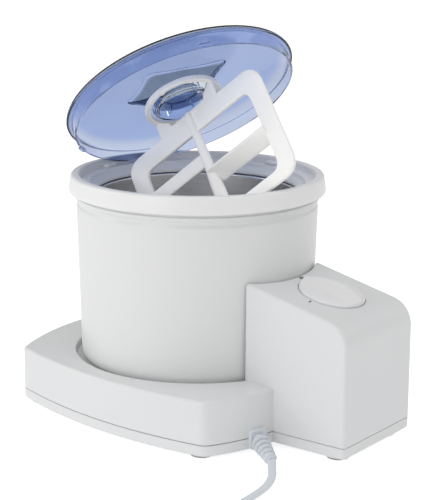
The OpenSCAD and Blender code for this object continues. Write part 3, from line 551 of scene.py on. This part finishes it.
def flatSection(wide, thick, count=24):
    # a twin-core cord: two round cores in one skin leave a shallow valley along its middle
    q = bearings(count)
    x = wide / 2 * np.sign(np.cos(q)) * np.abs(np.cos(q)) ** 0.72
    y = thick / 2 * np.sin(q) * (0.84 + 0.16 * np.minimum(1, np.abs(x) / (0.28 * wide)))
    return np.stack([x, y], -1)


line = cordLine()
cordSkin = sweep(line, flatSection(cord["wide"], cord["thick"]))
cordPiece = makeObject("flatCord", makeMesh("flatCord", [cordSkin]))
finishPiece(cordPiece, "base", finishes["vinyl"], ["power_cord", "cord_coil", "cord_end"])


def makeRelief():
    # the sleeve narrows along its axis, and each rib swells and falls as a rounded step
    x = np.linspace(0, cord["reliefLong"], 163)
    step = cord["reliefLong"] / 6
    core = 4.6 - 1.2 * x / cord["reliefLong"]
    k = np.floor(x / step)
    part = (x / step - k) / 0.7
    rib = (7.4 - 0.5 * k) * np.where((k >= 1) & (part < 1), 1, 0)
    rise = np.clip(np.minimum(part, 1 - part) * 7, 0, 1)
    r = np.maximum(core, core + (rib - core) * np.sin(rise * np.pi / 2))
    path = np.array(cord["reliefAt"]) + x[:, None] * reliefWay
    q = bearings(40)
    squash = 1 - 0.12 * (x / cord["reliefLong"])[:, None]
    section = np.stack([r[:, None] * np.cos(q), r[:, None] * squash * np.sin(q)], -1)
    sleeve = sweep(path, section)
    collar = soften([[0, -3], [7.5, -3], [7.5, 3.0], [0, 3.0]], [0, 0.3, 1.1, 0], closed=False)
    wide = bearings(64)
    c, s = np.cos(wide), np.sin(wide)
    shape = (np.abs(c) ** 5 + np.abs(s) ** 5) ** (-1 / 5)
    block = np.stack([collar[:, 1, None] + 0 * wide, collar[:, 0, None] * shape * c,
                      collar[:, 0, None] * shape * s], -1)
    block = turned(block, cord["glandAt"], z1=cord["glandTurn"])
    piece = makeObject("strainRelief", makeMesh("strainRelief", [sleeve, (block, True)]))
    return finishPiece(piece, "base", finishes["vinyl"], ["strain_relief"])


def makePlug():
    # a two-pin plug: rounded sections swell from the cord to the pin face, with grip waves on the body
    t = np.linspace(0, 1, 61)
    half = np.interp(t, [0, 0.3, 0.42, 0.6, 0.93, 1], [3.6, 5.4, 8.6, 10.6, 10.9, 10.2])
    tall = np.interp(t, [0, 0.3, 0.42, 0.6, 0.93, 1], [3.0, 5.0, 6.6, 7.9, 8.0, 7.5])
    wave = 0.35 * np.sin(t * 60) * ((t > 0.52) & (t < 0.86))
    base = oval((1, 1), 44, 3.4)
    section = base[None] * np.stack([half + wave, tall + wave], -1)[:, None]
    path = np.array(cord["plugAt"]) + np.stack([30 * t, 0 * t, 0 * t], -1)
    piece = makeObject("plugBody", makeMesh("plugBody", [sweep(path, section)]))
    return finishPiece(piece, "base", finishes["vinyl"], ["plug_body"])


relief, plug = makeRelief(), makePlug()
print("strain relief and plug made")

# Base

base = {
    "deck": 45.4, "crown": 1.4, "seam": 12.3, "edge": 2.2, "wall": 2.5, "tailX": -108.5, "tailY": 84.0,
    "cornerX": 86.4, "cornerY": 103.5, "shoulderX": 107.0, "towerLow": -47.4, "towerHigh": 43.4,
    "towerX": 168.7, "towerCore": 128.0, "hiddenFoot": 39.0, "seatR": 94.9, "seatZ": 41.5, "sideBow": 13.0,
    "tailBow": 18.0, "shoulderBow": 3.0, "cornerRound": 4.5,
    "top": 110.0, "knobX": 125.0, "slope": 13.0, "endRound": 20.0, "towerEdge": 2.4, "arcR": 93.15,
    "underside": 3.5, "seamGap": 0.25,
}


def deckSide():
    # from the tail's middle past the front corner to the shoulder's end, on the side of -Y
    tail = bowed((base["tailX"], base["tailY"]), (base["tailX"], -base["tailY"]), base["tailBow"], 41)[20:]
    long = bowed((base["tailX"], -base["tailY"]), (base["cornerX"], -base["cornerY"]), base["sideBow"], 60)
    short = bowed((base["cornerX"], -base["cornerY"]), (base["shoulderX"], base["towerLow"]),
                  base["shoulderBow"], 22)
    return [tail, long, short]


def roundedRun(runs, reach):
    # runs that meet at corners are joined, and each corner becomes a parabola that spans reach on both
    # sides
    runs = [spaced(run, 1.5) for run in runs]
    out = [runs[0]]
    for run in runs[1:]:
        last = out[-1]
        n = int(round(reach / 1.5))
        a, b, c = last[-1 - n], last[-1], run[n]
        u = np.linspace(0, 1, 11)[1:-1, None]
        out[-1] = last[:-n]
        out += [(1 - u) ** 2 * a + 2 * u * (1 - u) * b + u * u * c, run[n:]]
    return np.concatenate(out)


def mirrorRun(run):
    return run[::-1] * [1, -1]


def inward(run, closed=True):
    # the unit normal of a line that runs anticlockwise, pointing to its inside
    ahead = np.roll(run, -1, 0) - np.roll(run, 1, 0) if closed else np.gradient(run, axis=0)
    ahead = unit(ahead)
    return np.stack([-ahead[:, 1], ahead[:, 0]], -1)


def deckGrid():
    # the plan is carried up the wall, over a rounded edge, across the deck to the seat and down into it
    half = roundedRun(deckSide(), base["cornerRound"])
    across = np.linspace(base["towerLow"], -base["towerLow"], 42)[1:-1]
    behind = np.stack([np.full(len(across), base["shoulderX"]), across], -1)
    plan = np.concatenate([half, behind, mirrorRun(half)[:-1]])
    side = inward(plan)
    # behind the tower's end the wall starts higher, at hiddenFoot
    hidden = (plan[:, 0] > base["shoulderX"] - 0.4) & (np.abs(plan[:, 1]) < -base["towerLow"] - 0.4)
    foot = base["hiddenFoot"]
    low = np.where(hidden, foot, base["seam"] + base["seamGap"])
    edge = base["edge"]
    q = np.linspace(0, np.pi / 2, 8)
    top = base["deck"] - edge
    rows = [np.concatenate([plan + side * inset, (low + rise)[:, None]], 1)
            for inset, rise in ((2.2, 0), (0.5, 0), (0.12, 0.15), (0, 0.6), (0, 1.2), (0, 12), (0, 22))]
    rows = [np.where(hidden[:, None] & (r[:, 2:] < foot), level(r[:, :2], foot), r) for r in rows]
    rows += [level(plan + side * (edge * (1 - math.cos(a))), top + edge * math.sin(a)) for a in q]
    start = plan + side * edge
    way = unit(start)
    lip = way * (base["seatR"] + 1.6)
    for t in (0.02, 0.06, 0.15, 0.3, 0.5, 0.7, 0.88, 0.96, 1.0):
        z = base["deck"] + base["crown"] * (t * t * (3 - 2 * t))
        rows.append(level(start + (lip - start) * t, z))
    for a in np.linspace(0.15, 1, 6) * np.pi / 2:
        r = base["seatR"] + 1.4 * (1 - math.sin(a))
        z = base["deck"] + base["crown"] - 1.4 * (1 - math.cos(a))
        rows.append(level(way * r, z))
    seatZ = base["seatZ"]
    for r, z in ((94.4, 43.4), (94.4, 42.3), (94.1, 41.75), (93.4, seatZ), (92.6, seatZ), (70, seatZ),
                 (40, seatZ),
                 (12, seatZ), (7.4, seatZ), (6.9, 41.3), (6.7, 40.8), (6.7, 37.0)):
        rows.append(level(way * r, z))
    return np.stack(rows), True


def towerGrid():
    # the side outline is stacked across the tower, smaller by the edge's rounding near each side,
    # and its front end follows the arc round the bucket
    edge, slope = base["towerEdge"], math.radians(base["slope"])
    q = np.linspace(0, np.pi / 2, 9)
    lowSide, highSide = base["towerLow"], base["towerHigh"]
    middle = np.linspace(lowSide + edge, highSide - edge, 56)[1:-1]
    y = np.concatenate([np.full(6, lowSide), lowSide + edge * (1 - np.cos(q)), middle,
                        highSide - edge * (1 - np.cos(q[::-1])), np.full(6, highSide)])
    inset = np.concatenate([np.full(6, edge), edge * (1 - np.sin(q)), 0 * middle,
                            edge * (1 - np.sin(q[::-1])), np.full(6, edge)])
    scale = np.concatenate([[0, 0.25, 0.55, 0.85, 0.97, 0.995], np.ones(9 + len(middle) + 9),
                            [0.995, 0.97, 0.85, 0.55, 0.25, 0]])
    y, inset, scale = y[:, None], inset[:, None], scale[:, None]
    endX = base["towerX"] - base["endRound"]
    r = base["endRound"] - inset
    endZ = base["top"] - (endX - base["knobX"]) * math.tan(slope) - base["endRound"] / math.cos(slope)
    low = base["seam"] + base["seamGap"]
    a = np.linspace(0, np.pi / 2 - slope, 17)[None]
    wallX = np.repeat(base["towerX"] - inset, 6, 1)
    wallZ = np.broadcast_to(np.array([low, low + 0.3, low + 1, low + 3, low + 8, endZ - 3]), wallX.shape)
    arcX, arcZ = endX + r * np.cos(a), endZ + r * np.sin(a)
    front = np.sqrt(base["arcR"] ** 2 - y ** 2) + 0.75 * inset
    t = np.concatenate([[0.04], np.linspace(0.1, 0.9, 9), [0.96, 0.985]])[None]
    first = arcX[:, -1:]
    topX = first + (front + 1.2 - first) * t

    def topZ(x, down):
        return base["top"] + (base["knobX"] - x) * math.tan(slope) - down / math.cos(slope)

    lip = np.linspace(0, np.pi / 2, 6)[None]
    lipX = front + 1.2 * (1 - np.sin(lip))
    lipZ = topZ(front + 1.2, inset) - 1.2 * (1 - np.cos(lip))
    inside = np.clip((np.minimum(y - lowSide, highSide - y) - 4) / 2, 0, 1)
    bottom = low + (base["hiddenFoot"] - low) * inside
    faceZ = np.concatenate([lipZ[:, -1:] - 0.6, lipZ[:, -1:] * 0.5 + bottom * 0.5, bottom], 1)
    x = np.concatenate([wallX, arcX, topX, lipX, np.broadcast_to(front, faceZ.shape)], 1)
    z = np.concatenate([wallZ, arcZ, topZ(topX, inset), lipZ, faceZ], 1)
    x, z = base["towerCore"] + (x - base["towerCore"]) * scale, low + (z - low) * scale
    return np.stack([x, np.broadcast_to(y, x.shape), z], -1), False


def slopeDisc(radius, low, high, count=96):
    # a round cutter that stands on the tower's sloping top at the knob
    profile = np.array([[0, low], [radius, low], [radius, high], [0, high]], float)
    points, closed = revolve(profile, count)
    points = turned(points, (base["knobX"], 0, base["top"]), y=base["slope"])
    return makeObject("cutter", makeMesh("cutter", [(points, closed)]))


def makeHousing():
    deck = thicken(makeObject("deck", makeMesh("deck", [deckGrid()], shell=False)), base["wall"])
    tower = thicken(makeObject("tower", makeMesh("tower", [towerGrid()], shell=False)), base["wall"], True)
    tower = carve(tower, slopeDisc(25.6, -1.3, 6), slopeDisc(6.2, -6, 2))
    work = bmesh.new()
    work.from_mesh(deck.data)
    work.from_mesh(tower.data)
    mesh = bpy.data.meshes.new("baseHousing")
    work.to_mesh(mesh)
    work.free()
    for old in (deck, tower):
        bpy.data.objects.remove(old)
    mesh.shade_smooth()
    mesh.set_sharp_from_angle(angle=math.radians(38))
    return finishPiece(makeObject("baseHousing", mesh), "base", finishes["whiteShell"],
                       ["base_housing"])


def makeTray():
    # the whole plan, deck and tower, carried round the tray's edge and drawn in to its middle below
    half = roundedRun(deckSide(), base["cornerRound"])
    corners = np.array([[base["shoulderX"], base["towerLow"]], [base["towerX"], base["towerLow"]],
                        [base["towerX"], base["towerHigh"]], [base["shoulderX"], base["towerHigh"]]])
    end = roundedRun([corners[k:k + 2] for k in range(3)], 3.2)
    plan = np.concatenate([half, end[1:], mirrorRun(half)[:-1]])
    side = inward(plan)
    rows = []
    high, floorTop, under = base["seam"] - base["seamGap"], 6.2, base["underside"]
    for inset, z in ((2.6, floorTop), (2.6, high), (0.6, high), (0.15, high - 0.12), (0, high - 0.6),
                     (0, high - 1.2), (0, 5.9), (0.15, 5.2), (0.6, 4.4), (1.2, 3.8), (2.0, under),
                     (2.8, under)):
        rows.append(level(plan + side * inset, z))
    middle = np.array([60.0, 0, 0])
    inside, outside = middle + [0, 0, floorTop], middle + [0, 0, under]
    top = [inside + (rows[0] - middle - [0, 0, floorTop]) * t for t in (0, 0.3, 0.7)]
    below = [outside + (rows[-1] - middle - [0, 0, under]) * t for t in (0.97, 0.7, 0.3, 0)]
    grid = np.stack(top + rows + below)
    spots = [(74.4, -90.5), (74.4, 90.5), (-98.5, -73), (-98.5, 73), (154.7, -33.4), (154.7, 29.4), (0, 0)]
    boss = soften([[0, 1.2], [9, 1.2], [11.4, 4.6], [0, 4.6]], [0, 1.2, 0.6, 0], closed=False)
    grids = [(grid, True)] + [revolve(boss, 48, spot) for spot in spots]
    piece = makeObject("bottomTray", makeMesh("bottomTray", grids))
    return finishPiece(piece, "base", finishes["whiteShell"], ["bottom_cover"])


makeHousing()
makeTray()
print("base made")

# Bucket and rim

bucket = {"r": 93.2, "neck": 162.5, "top": 176.5, "taper": 0.026, "seat": 41.5, "mouth": 77.2,
          "rimTop": 186.0, "ledgeR": 90.2, "ledgeZ": 180.6, "rimR": 97.5}


def makeBucket():
    # a turned profile: drafted wall, rounded foot, and a groove and a bead under the rim
    r, neck, top, seat = bucket["r"], bucket["neck"], bucket["top"], bucket["seat"]
    foot = r - bucket["taper"] * (neck - seat)
    profile = soften([
        [18.2, seat + 0.05], [foot, seat + 0.05], [r - 0.05, neck - 0.6], [r - 0.9, neck + 1.4],
        [r - 0.9, neck + 4.2], [r + 0.8, neck + 4.8], [r + 0.8, neck + 7.2], [r, neck + 7.9], [r, top],
        [r - 2.2, top], [r - 2.3, neck], [foot - 2.2, seat + 3], [23, seat + 3], [23, seat + 8],
        [18.2, seat + 8]],
        [0.3, 7.6, 1.2, 0.6, 0.5, 0.6, 0.6, 0.5, 0.4, 0.4, 3, 6, 1, 0.4, 0.3], steps=9)
    piece = makeObject("bucketShell", makeMesh("bucketShell", [revolve(ring(profile), 256)]))
    finishPiece(piece, "bucket", finishes["whiteBucket"], ["bucket_shell"])


def lug(turn):
    # a rounded block on the rim's ledge; its sections are superellipses that end in a rounded face
    t = np.linspace(-1, 1, 25)
    size = (1 - np.abs(t) ** 6) ** (1 / 6)
    section = oval((3.4, 1.45), 32, 4)[None] * size[:, None, None]
    path = np.stack([np.full(25, bucket["ledgeR"] - 2.2), 6.2 * t, np.full(25, bucket["ledgeZ"] + 1.0)], -1)
    points, closed = sweep(path, section)
    return turned(points, z1=turn), closed


def makeRim():
    # a turned profile: skirt, rounded top edge, ledge for the lid and inner mouth, with four lugs on the
    # ledge
    mouth, top, rimR = bucket["mouth"], bucket["rimTop"], bucket["rimR"]
    ledge, ledgeZ = bucket["ledgeR"], bucket["ledgeZ"]
    skirt = bucket["top"] - 3.9
    profile = soften([
        [mouth, 171.8], [mouth + 3, 171.8], [86, 176.6], [94.6, 176.6], [94.6, skirt], [rimR + 0.9, skirt],
        [rimR + 1.5, skirt + 1.2], [rimR + 1.2, skirt + 4.6], [rimR, top - 1.0], [rimR - 1.2, top],
        [ledge + 1.2, top], [ledge, top - 1.3], [ledge, ledgeZ], [ledge - 7.2, ledgeZ - 0.5],
        [ledge - 8.4, ledgeZ - 3.0],
        [mouth + 1.1, 174.7], [mouth, 173.6]],
        [0.3, 0.4, 1, 0.4, 0.4, 0.5, 0.6, 1.6, 0.9, 0.8, 0.8, 0.7, 0.8, 0.9, 1.0, 0.8, 0.5], steps=8)
    grids = [revolve(ring(profile), 256)] + [lug(turn) for turn in (181, 84, 1, -96)]
    piece = makeObject("rimRing", makeMesh("rimRing", grids))
    finishPiece(piece, "bucket", finishes["whiteRim"], ["rim_ring"])


def makeLiner():
    # a spun cup: drafted wall, generous foot and a flange rolled out over the bowl's edge
    top, out, floor = 170.9, 75.5, 63.0
    profile = soften([
        [0, floor], [out - 0.025 * 107, floor], [out, top], [out + 5.2, top], [out + 5.2, top - 1.2],
        [out + 1.3, top - 1.2], [out - 1.5, floor - 1.2], [0, floor - 1.2]],
        [0, 10, 0.9, 0.35, 0.35, 0.3, 11, 0], steps=9, closed=False)
    piece = makeObject("coldLiner", makeMesh("coldLiner", [revolve(profile, 256)]))
    finishPiece(piece, "freezer_bowl", finishes["liner"], ["bowl_liner"])


makeBucket()
makeRim()
makeLiner()
print("bucket, rim and liner made")

# Lid


def placeLid(points):
    return turned(points, lid["at"], z1=lid["turn"], y=lid["lean"])


def mouthLine(grow, count=120):
    # the funnel's mouth: four corners joined by sides that bow inwards, its corners rounded
    c = lid["mouth"]
    runs = [bowed(c[k], c[(k + 1) % 4], -lid["pinch"]) for k in range(4)]
    runs = [spaced(run, 1.0) for run in runs]
    out = []
    for k in range(4):
        run, nxt = runs[k], runs[(k + 1) % 4]
        a, b, d = run[-9], run[-1], nxt[8]
        u = np.linspace(0, 1, 9)[1:-1, None]
        out += [run[8:-8], (1 - u) ** 2 * a + 2 * u * (1 - u) * b + u * u * d]
    line = np.concatenate(out)
    line = spaced(np.concatenate([line, line[:1]]), 1.0)
    at = np.linspace(0, len(line) - 1, count, endpoint=False)
    line = np.stack([np.interp(at, np.arange(len(line)), line[:, k]) for k in (0, 1)], -1)
    return line + inward(line) * -grow


def makeLid():
    r, skirt, crown, wall = lid["r"], lid["skirt"], lid["crown"], lid["wall"]
    a = np.linspace(0, np.pi / 2, 15)
    line = mouthLine(0)
    q = np.arctan2(line[:, 1], line[:, 0])

    def disc(radius, height):
        return np.stack([radius * np.cos(q), radius * np.sin(q), np.full(len(q), height)], -1)

    # one skin from the skirt's foot over the flange and dome, in across the crown to the funnel's mouth,
    # down the funnel to the spout and in to the hole; every row is a ring on the same bearings
    rows = [disc(r + out, height) for out, height in (
        (-0.9, 0.0), (-0.9, 0.5), (-0.9, 4), (-0.9, skirt - 1.0), (-0.7, skirt - 0.3), (-0.1, skirt),
        (1.8, skirt + 0.1), (2.4, skirt + 0.5), (2.5, skirt + 1.2))]
    # the dome is a quarter of an ellipse from the flange to a circle of 44
    for b in a[1:]:
        rows.append(disc(r + 2.2 - (r + 2.2 - 44) * (1 - math.cos(b)),
                         skirt + 1.6 + (crown - wall - skirt - 1.6) * math.sin(b)))
    mouth = level(mouthLine(1.2), crown - wall)
    last = rows[-1]
    rows += [last + (mouth - last) * t for t in (0.3, 0.6, 0.85, 0.97, 1.0)]
    high = level(line, crown - wall - 1.0)
    rows.append(high)
    foot = disc(lid["spout"] - 0.9, 9.0)
    for t in np.linspace(0, 1, 14)[1:]:
        flat = high + (foot - high) * (1 - (1 - t) ** 1.35)
        flat[:, 2] = high[0, 2] + (foot[0, 2] - high[0, 2]) * t
        rows.append(flat)
    for radius, height in ((23.1, 8.6), (23.1, 8), (23.1, 2.4), (22.9, 1.6), (22.2, 1.2), (21.6, 1.5),
                           (21.2, 2.6), (19.4, 5.0), (17.6, 6.8), (16.2, 7.8), (15.2, 8.4), (14.8, 9.0),
                           (14.8, 10.4)):
        rows.append(disc(radius, height))
    skin = makeObject("lidDome", makeMesh("lidDome", [(placeLid(np.stack(rows)), True)], shell=False))
    thicken(skin, 1.7)
    fins = []
    for turn in range(0, 360, 60):
        across = np.array([[15.6, 6.2], [22.6, 3.0], [22.6, 8.2], [15.6, 9.6]])
        fin = np.stack([np.stack([across[:, 0], np.full(4, s), across[:, 1]], -1) for s in (-0.6, 0.6)])
        ends = np.repeat(fin.mean(1, keepdims=True), 4, 1)
        fins.append((placeLid(turned(np.stack([ends[0], fin[0], fin[1], ends[1]]), z1=turn + 8)), True))
    for turn in (45, 165, 285):
        t = np.linspace(-1, 1, 17)
        size = (1 - np.abs(t) ** 6) ** (1 / 6)
        section = oval((1.2, 1.0), 20, 4)[None] * size[:, None, None]
        path = np.stack([np.full(17, r + 0.3), 5.0 * t, np.full(17, 2.4)], -1)
        points, closed = sweep(path, section)
        fins.append((placeLid(turned(points, z1=turn)), closed))
    ribs = makeObject("lidRibs", makeMesh("lidRibs", fins))
    work = bmesh.new()
    work.from_mesh(skin.data)
    work.from_mesh(ribs.data)
    work.to_mesh(skin.data)
    work.free()
    bpy.data.objects.remove(ribs)
    skin.data.shade_smooth()
    skin.data.set_sharp_from_angle(angle=math.radians(42))
    finishPiece(skin, "lid_body", finishes["clearLid"], ["lid"])


makeLid()
print("lid made")

# Mixing arm

arm = {"at": (-16.14, 3.0, 238.59), "lean": 44.7, "turn": 155.6, "spin": -154.2, "ringIn": 27.0,
       "ringOut": 31.0,
       "half": 70.4, "top": -14.5, "low": -110.0, "bar": 16.0, "strap": 14.7, "lowBar": 9.8, "thick": 3.6,
       "blade": -62.5}


def placeArm(points):
    return turned(points, arm["at"], z1=arm["turn"], y=arm["lean"], z0=arm["spin"])


def bladeGrid(x0, x1, wide, thick, z, twist, count=41):
    # a long paddle from x0 to x1: a flat rounded section turned by twist, in degrees
    t = np.linspace(0, 1, count)
    a = np.radians(np.full(count, float(twist)))
    section = oval((thick / 2, wide / 2), 36, 5)
    x, w = section[None, :, 0], section[None, :, 1]
    y = x * np.cos(a)[:, None] - w * np.sin(a)[:, None]
    up = x * np.sin(a)[:, None] + w * np.cos(a)[:, None]
    body = np.stack([np.broadcast_to((x0 + (x1 - x0) * t)[:, None], y.shape), y, z + up], -1)
    return capped(body), True


def makeArm():
    # a flat frame with rounded edges, a ring round the spout, a notched neck, a rod and two blades
    half, top, low, thick = arm["half"], arm["top"], arm["low"], arm["thick"]
    outer = soften([[-half, low], [half, low], [half, top], [-half, top]], [17, 15, 15, 14], steps=15)
    within, floor, roof = half - arm["strap"], low + arm["lowBar"], top - arm["bar"]
    inner = soften([[-within, floor], [within, floor], [within, roof], [-within, roof]], [8, 8, 9, 8],
                   steps=15)
    loop = plateLoop(outer, inner, thick)
    loop = np.concatenate([loop, loop[:1]])
    band = soften([[arm["ringIn"], -2.2], [arm["ringOut"], -2.2], [arm["ringOut"], 2.2],
                   [arm["ringIn"], 2.2]],
                  1.0)
    # the neck: a cup-shaped band between the tabs' outer sides and the rounded notch
    outside = soften([[31, -1.6], [31, top - 4], [-31, top - 4], [-31, -1.6]], [0, 1, 1, 0], steps=15,
                     closed=False)
    inside = soften([[27, -1.6], [18.6, -7.5], [18.2, top + 3.2], [-18.2, top + 3.2], [-18.6, -7.5],
                     [-27, -1.6]], [0, 3, 7, 7, 3, 0], steps=12, closed=False)
    outside, inside = (spaced(v, 0.5) for v in (outside, inside))
    at = np.linspace(0, 1, 80)
    even = [np.stack([np.interp(at, np.linspace(0, 1, len(v)), v[:, k]) for k in (0, 1)], -1)
            for v in (outside, inside)]
    # a little thinner than the frame, so that no two faces lie in one plane
    neck = capped(plateLoop(even[0], even[1], thick - 0.1))
    z = np.array([low + 3, low + 3.4, low + 5, low + 14, low + 24, low + 32, -72, -66, -60, -50, -36, -25,
                  top - 2,
                  top + 1.6, top + 2.8, top + 3.3])
    wide = np.array([3, 4.8, 5.2, 5.3, 5.3, 5.1, 4.6, 4.0, 3.6, 3.4, 3.3, 3.3, 3.3, 3.2, 2.5, 1.2])
    deep = np.array([2, 3.0, 3.3, 3.4, 3.4, 3.5, 3.5, 3.5, 3.5, 3.5, 3.5, 3.5, 3.5, 3.3, 2.6, 1.4])
    section = oval((1, 1), 40, 2.6)[None] * np.stack([wide, deep], -1)[:, None]
    path = np.stack([0 * z, 0 * z - 0.3, z], -1)
    rod = sweep(path, section, side=(0, 1, 0))
    inEnd = half - arm["strap"] + 2
    grids = [(placeArm(loop), True), (placeArm(revolve(ring(band), 128)[0]), True), (placeArm(neck), True),
             (placeArm(rod[0]), True),
             (placeArm(bladeGrid(-inEnd, 0, 11.8, 3.0, arm["blade"] + 8.5, 0)[0]), True),
             (placeArm(bladeGrid(0, inEnd, 15, 3.2, arm["blade"] - 8.0, 42)[0]), True)]
    piece = makeObject("mixingPaddle", makeMesh("mixingPaddle", grids))
    finishPiece(piece, "arm", finishes["whiteArm"], ["mixing_arm"])


makeArm()
print("mixing arm made")

# Knob

knob = {"r": 25.0, "grip": 7.2, "rim": 1.6}


def makeKnob():
    # a height field over a disc of relative radius rho. The cap is 1.3 plus 2.0 times the root of one less
    # rho
    # squared. The grip's crest is an arc across the knob, 2.6 times the square of the place along it lower
    # than
    # the grip's height, and it falls by 0.2 per millimetre on one side and 0.9 on the other. The higher of
    # cap
    # and grip counts, with a soft join, and both come down to the rim at the edge
    rho = np.concatenate([np.linspace(0, 0.9, 46), np.linspace(0.905, 1, 20)])
    q = bearings(220)
    x, y = knob["r"] * rho[:, None] * np.cos(q), knob["r"] * rho[:, None] * np.sin(q)
    cap = 1.3 + 2.0 * (1 - rho[:, None] ** 2) ** 0.5
    along = x / knob["r"]
    across = y - 9.0 * (1 - (along - 0.1) ** 2)
    ridge = knob["grip"] - 2.6 * along ** 2
    wedge = ridge - np.where(across < 0, 0.20 - 0.002 * across, 0.9) * np.abs(across)
    k = 0.6
    soft = np.clip(0.5 + (wedge - cap) / (2 * k), 0, 1)
    z = cap * (1 - soft) + wedge * soft + k * soft * (1 - soft)
    edge = np.clip((rho - 0.955) / 0.045, 0, 1)[:, None]
    z = z * (1 - edge ** 2) + knob["rim"] * edge ** 2 * (1 - 0.4 * edge)
    field = np.stack([x, y, z], -1)
    wall = [np.stack([knob["r"] * np.cos(q) * s, knob["r"] * np.sin(q) * s, np.full(len(q), h)], -1)
            for s, h in ((1, 0.4), (1, -0.4), (0.98, -0.6), (0.5, -0.6), (0, -0.6))]
    points = turned(np.concatenate([field, np.stack(wall)]), (base["knobX"], 0, base["top"]),
                    y=base["slope"])
    piece = makeObject("knobCap", makeMesh("knobCap", [(points, True)], crease=60))
    finishPiece(piece, "switch_knob", finishes["whiteKnob"], ["knob"])


def makeMarks():
    # a ring for the off place and a dash for the on place, printed on the tower's sloping top
    a = bearings(40)
    band = np.array([[0.85, 0.05], [0.85, 0.35], [1.6, 0.35], [1.6, 0.05]])
    zero, closed = revolve(ring(band), 40)
    zero = zero * [0.8, 1.25, 1] + [-29.6, 2.4, 0]
    dot = np.stack([np.stack([r * np.cos(a), r * np.sin(a), 0 * a + h], -1)
                    for r, h in ((0, 0.05), (0.65, 0.05), (0.65, 0.35), (0, 0.35))]) + [-26.6, 1.2, 0]
    dash = turned(np.stack([np.stack([1.6 * np.cos(a) * s, 0.5 * np.sin(a) * s, 0 * a + h], -1)
                            for s, h in ((0, 0.05), (1, 0.05), (1, 0.35), (0, 0.35))]) + [-29.0, 0, 0],
                            z1=90)
    at = (base["knobX"], 0, base["top"])
    grids = [(turned(points, at, y=base["slope"]), True) for points in (zero, dot, dash)]
    piece = makeObject("switchPrint", makeMesh("switchPrint", grids))
    finishPiece(piece, "base", finishes["print"], ["switch_marks"])


makeKnob()
makeMarks()
print("knob and marks made")

# Pieces that keep their own shape, each with its finish

kept = {
    "rubber_feet": "foot", "cover_screws": "steel", "gear_plate": "steel", "gear_axles": "steel",
    "shaft_bush": "brass", "drive_gear": "gear", "drive_shaft": "steel", "drive_coupler": "gear",
    "first_gear": "gear", "second_gear": "gear", "motor_stator": "lamination", "motor_coil": "tape",
    "motor_brackets": "steel", "motor_screws": "steel", "rotor_core": "lamination", "rotor_shaft": "steel",
    "motor_pinion": "brass", "cooling_fan": "black", "switch_body": "black", "knob_spindle": "steel",
    "internal_leads": "lead", "plug_pins": "pin", "bowl_outer_wall": "whiteRim",
    "cooling_fill": "gel", "bowl_seal": "seal", "bowl_drive_socket": "gear",
}
for name, choice in kept.items():
    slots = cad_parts[name].data.materials
    slots.clear()
    slots.append(finishes[choice])
print("finishes put on", len(kept), "kept pieces")

# Floor


def makeFloor():
    size = 14000.0
    u = np.linspace(-size, size, 3)
    x, y = np.meshgrid(u, u)
    floor = makeObject("floor", makeMesh("floor", [(np.stack([x, y, 0 * x - 0.05], -1), False)],
                                         shell=False))
    material = bpy.data.materials.new("paleFloor")
    material.use_nodes = True
    surface = material.node_tree.nodes["Principled BSDF"]
    surface.inputs["Base Color"].default_value = (0.93, 0.93, 0.93, 1)
    surface.inputs["Roughness"].default_value = 0.9
    surface.inputs["Specular IOR Level"].default_value = 0.1
    surface.inputs["Emission Color"].default_value = (1, 1, 1, 1)
    # bright where it is seen, dimmer where it lights the object
    seen = node(material.node_tree, "ShaderNodeLightPath")
    material.node_tree.links.new(mapRange(material.node_tree, seen.outputs["Is Camera Ray"], 0.22, 0.6,
                                          0.0, 1.0),
                                 surface.inputs["Emission Strength"])
    floor.data.materials.append(material)


makeFloor()
print("scene made")
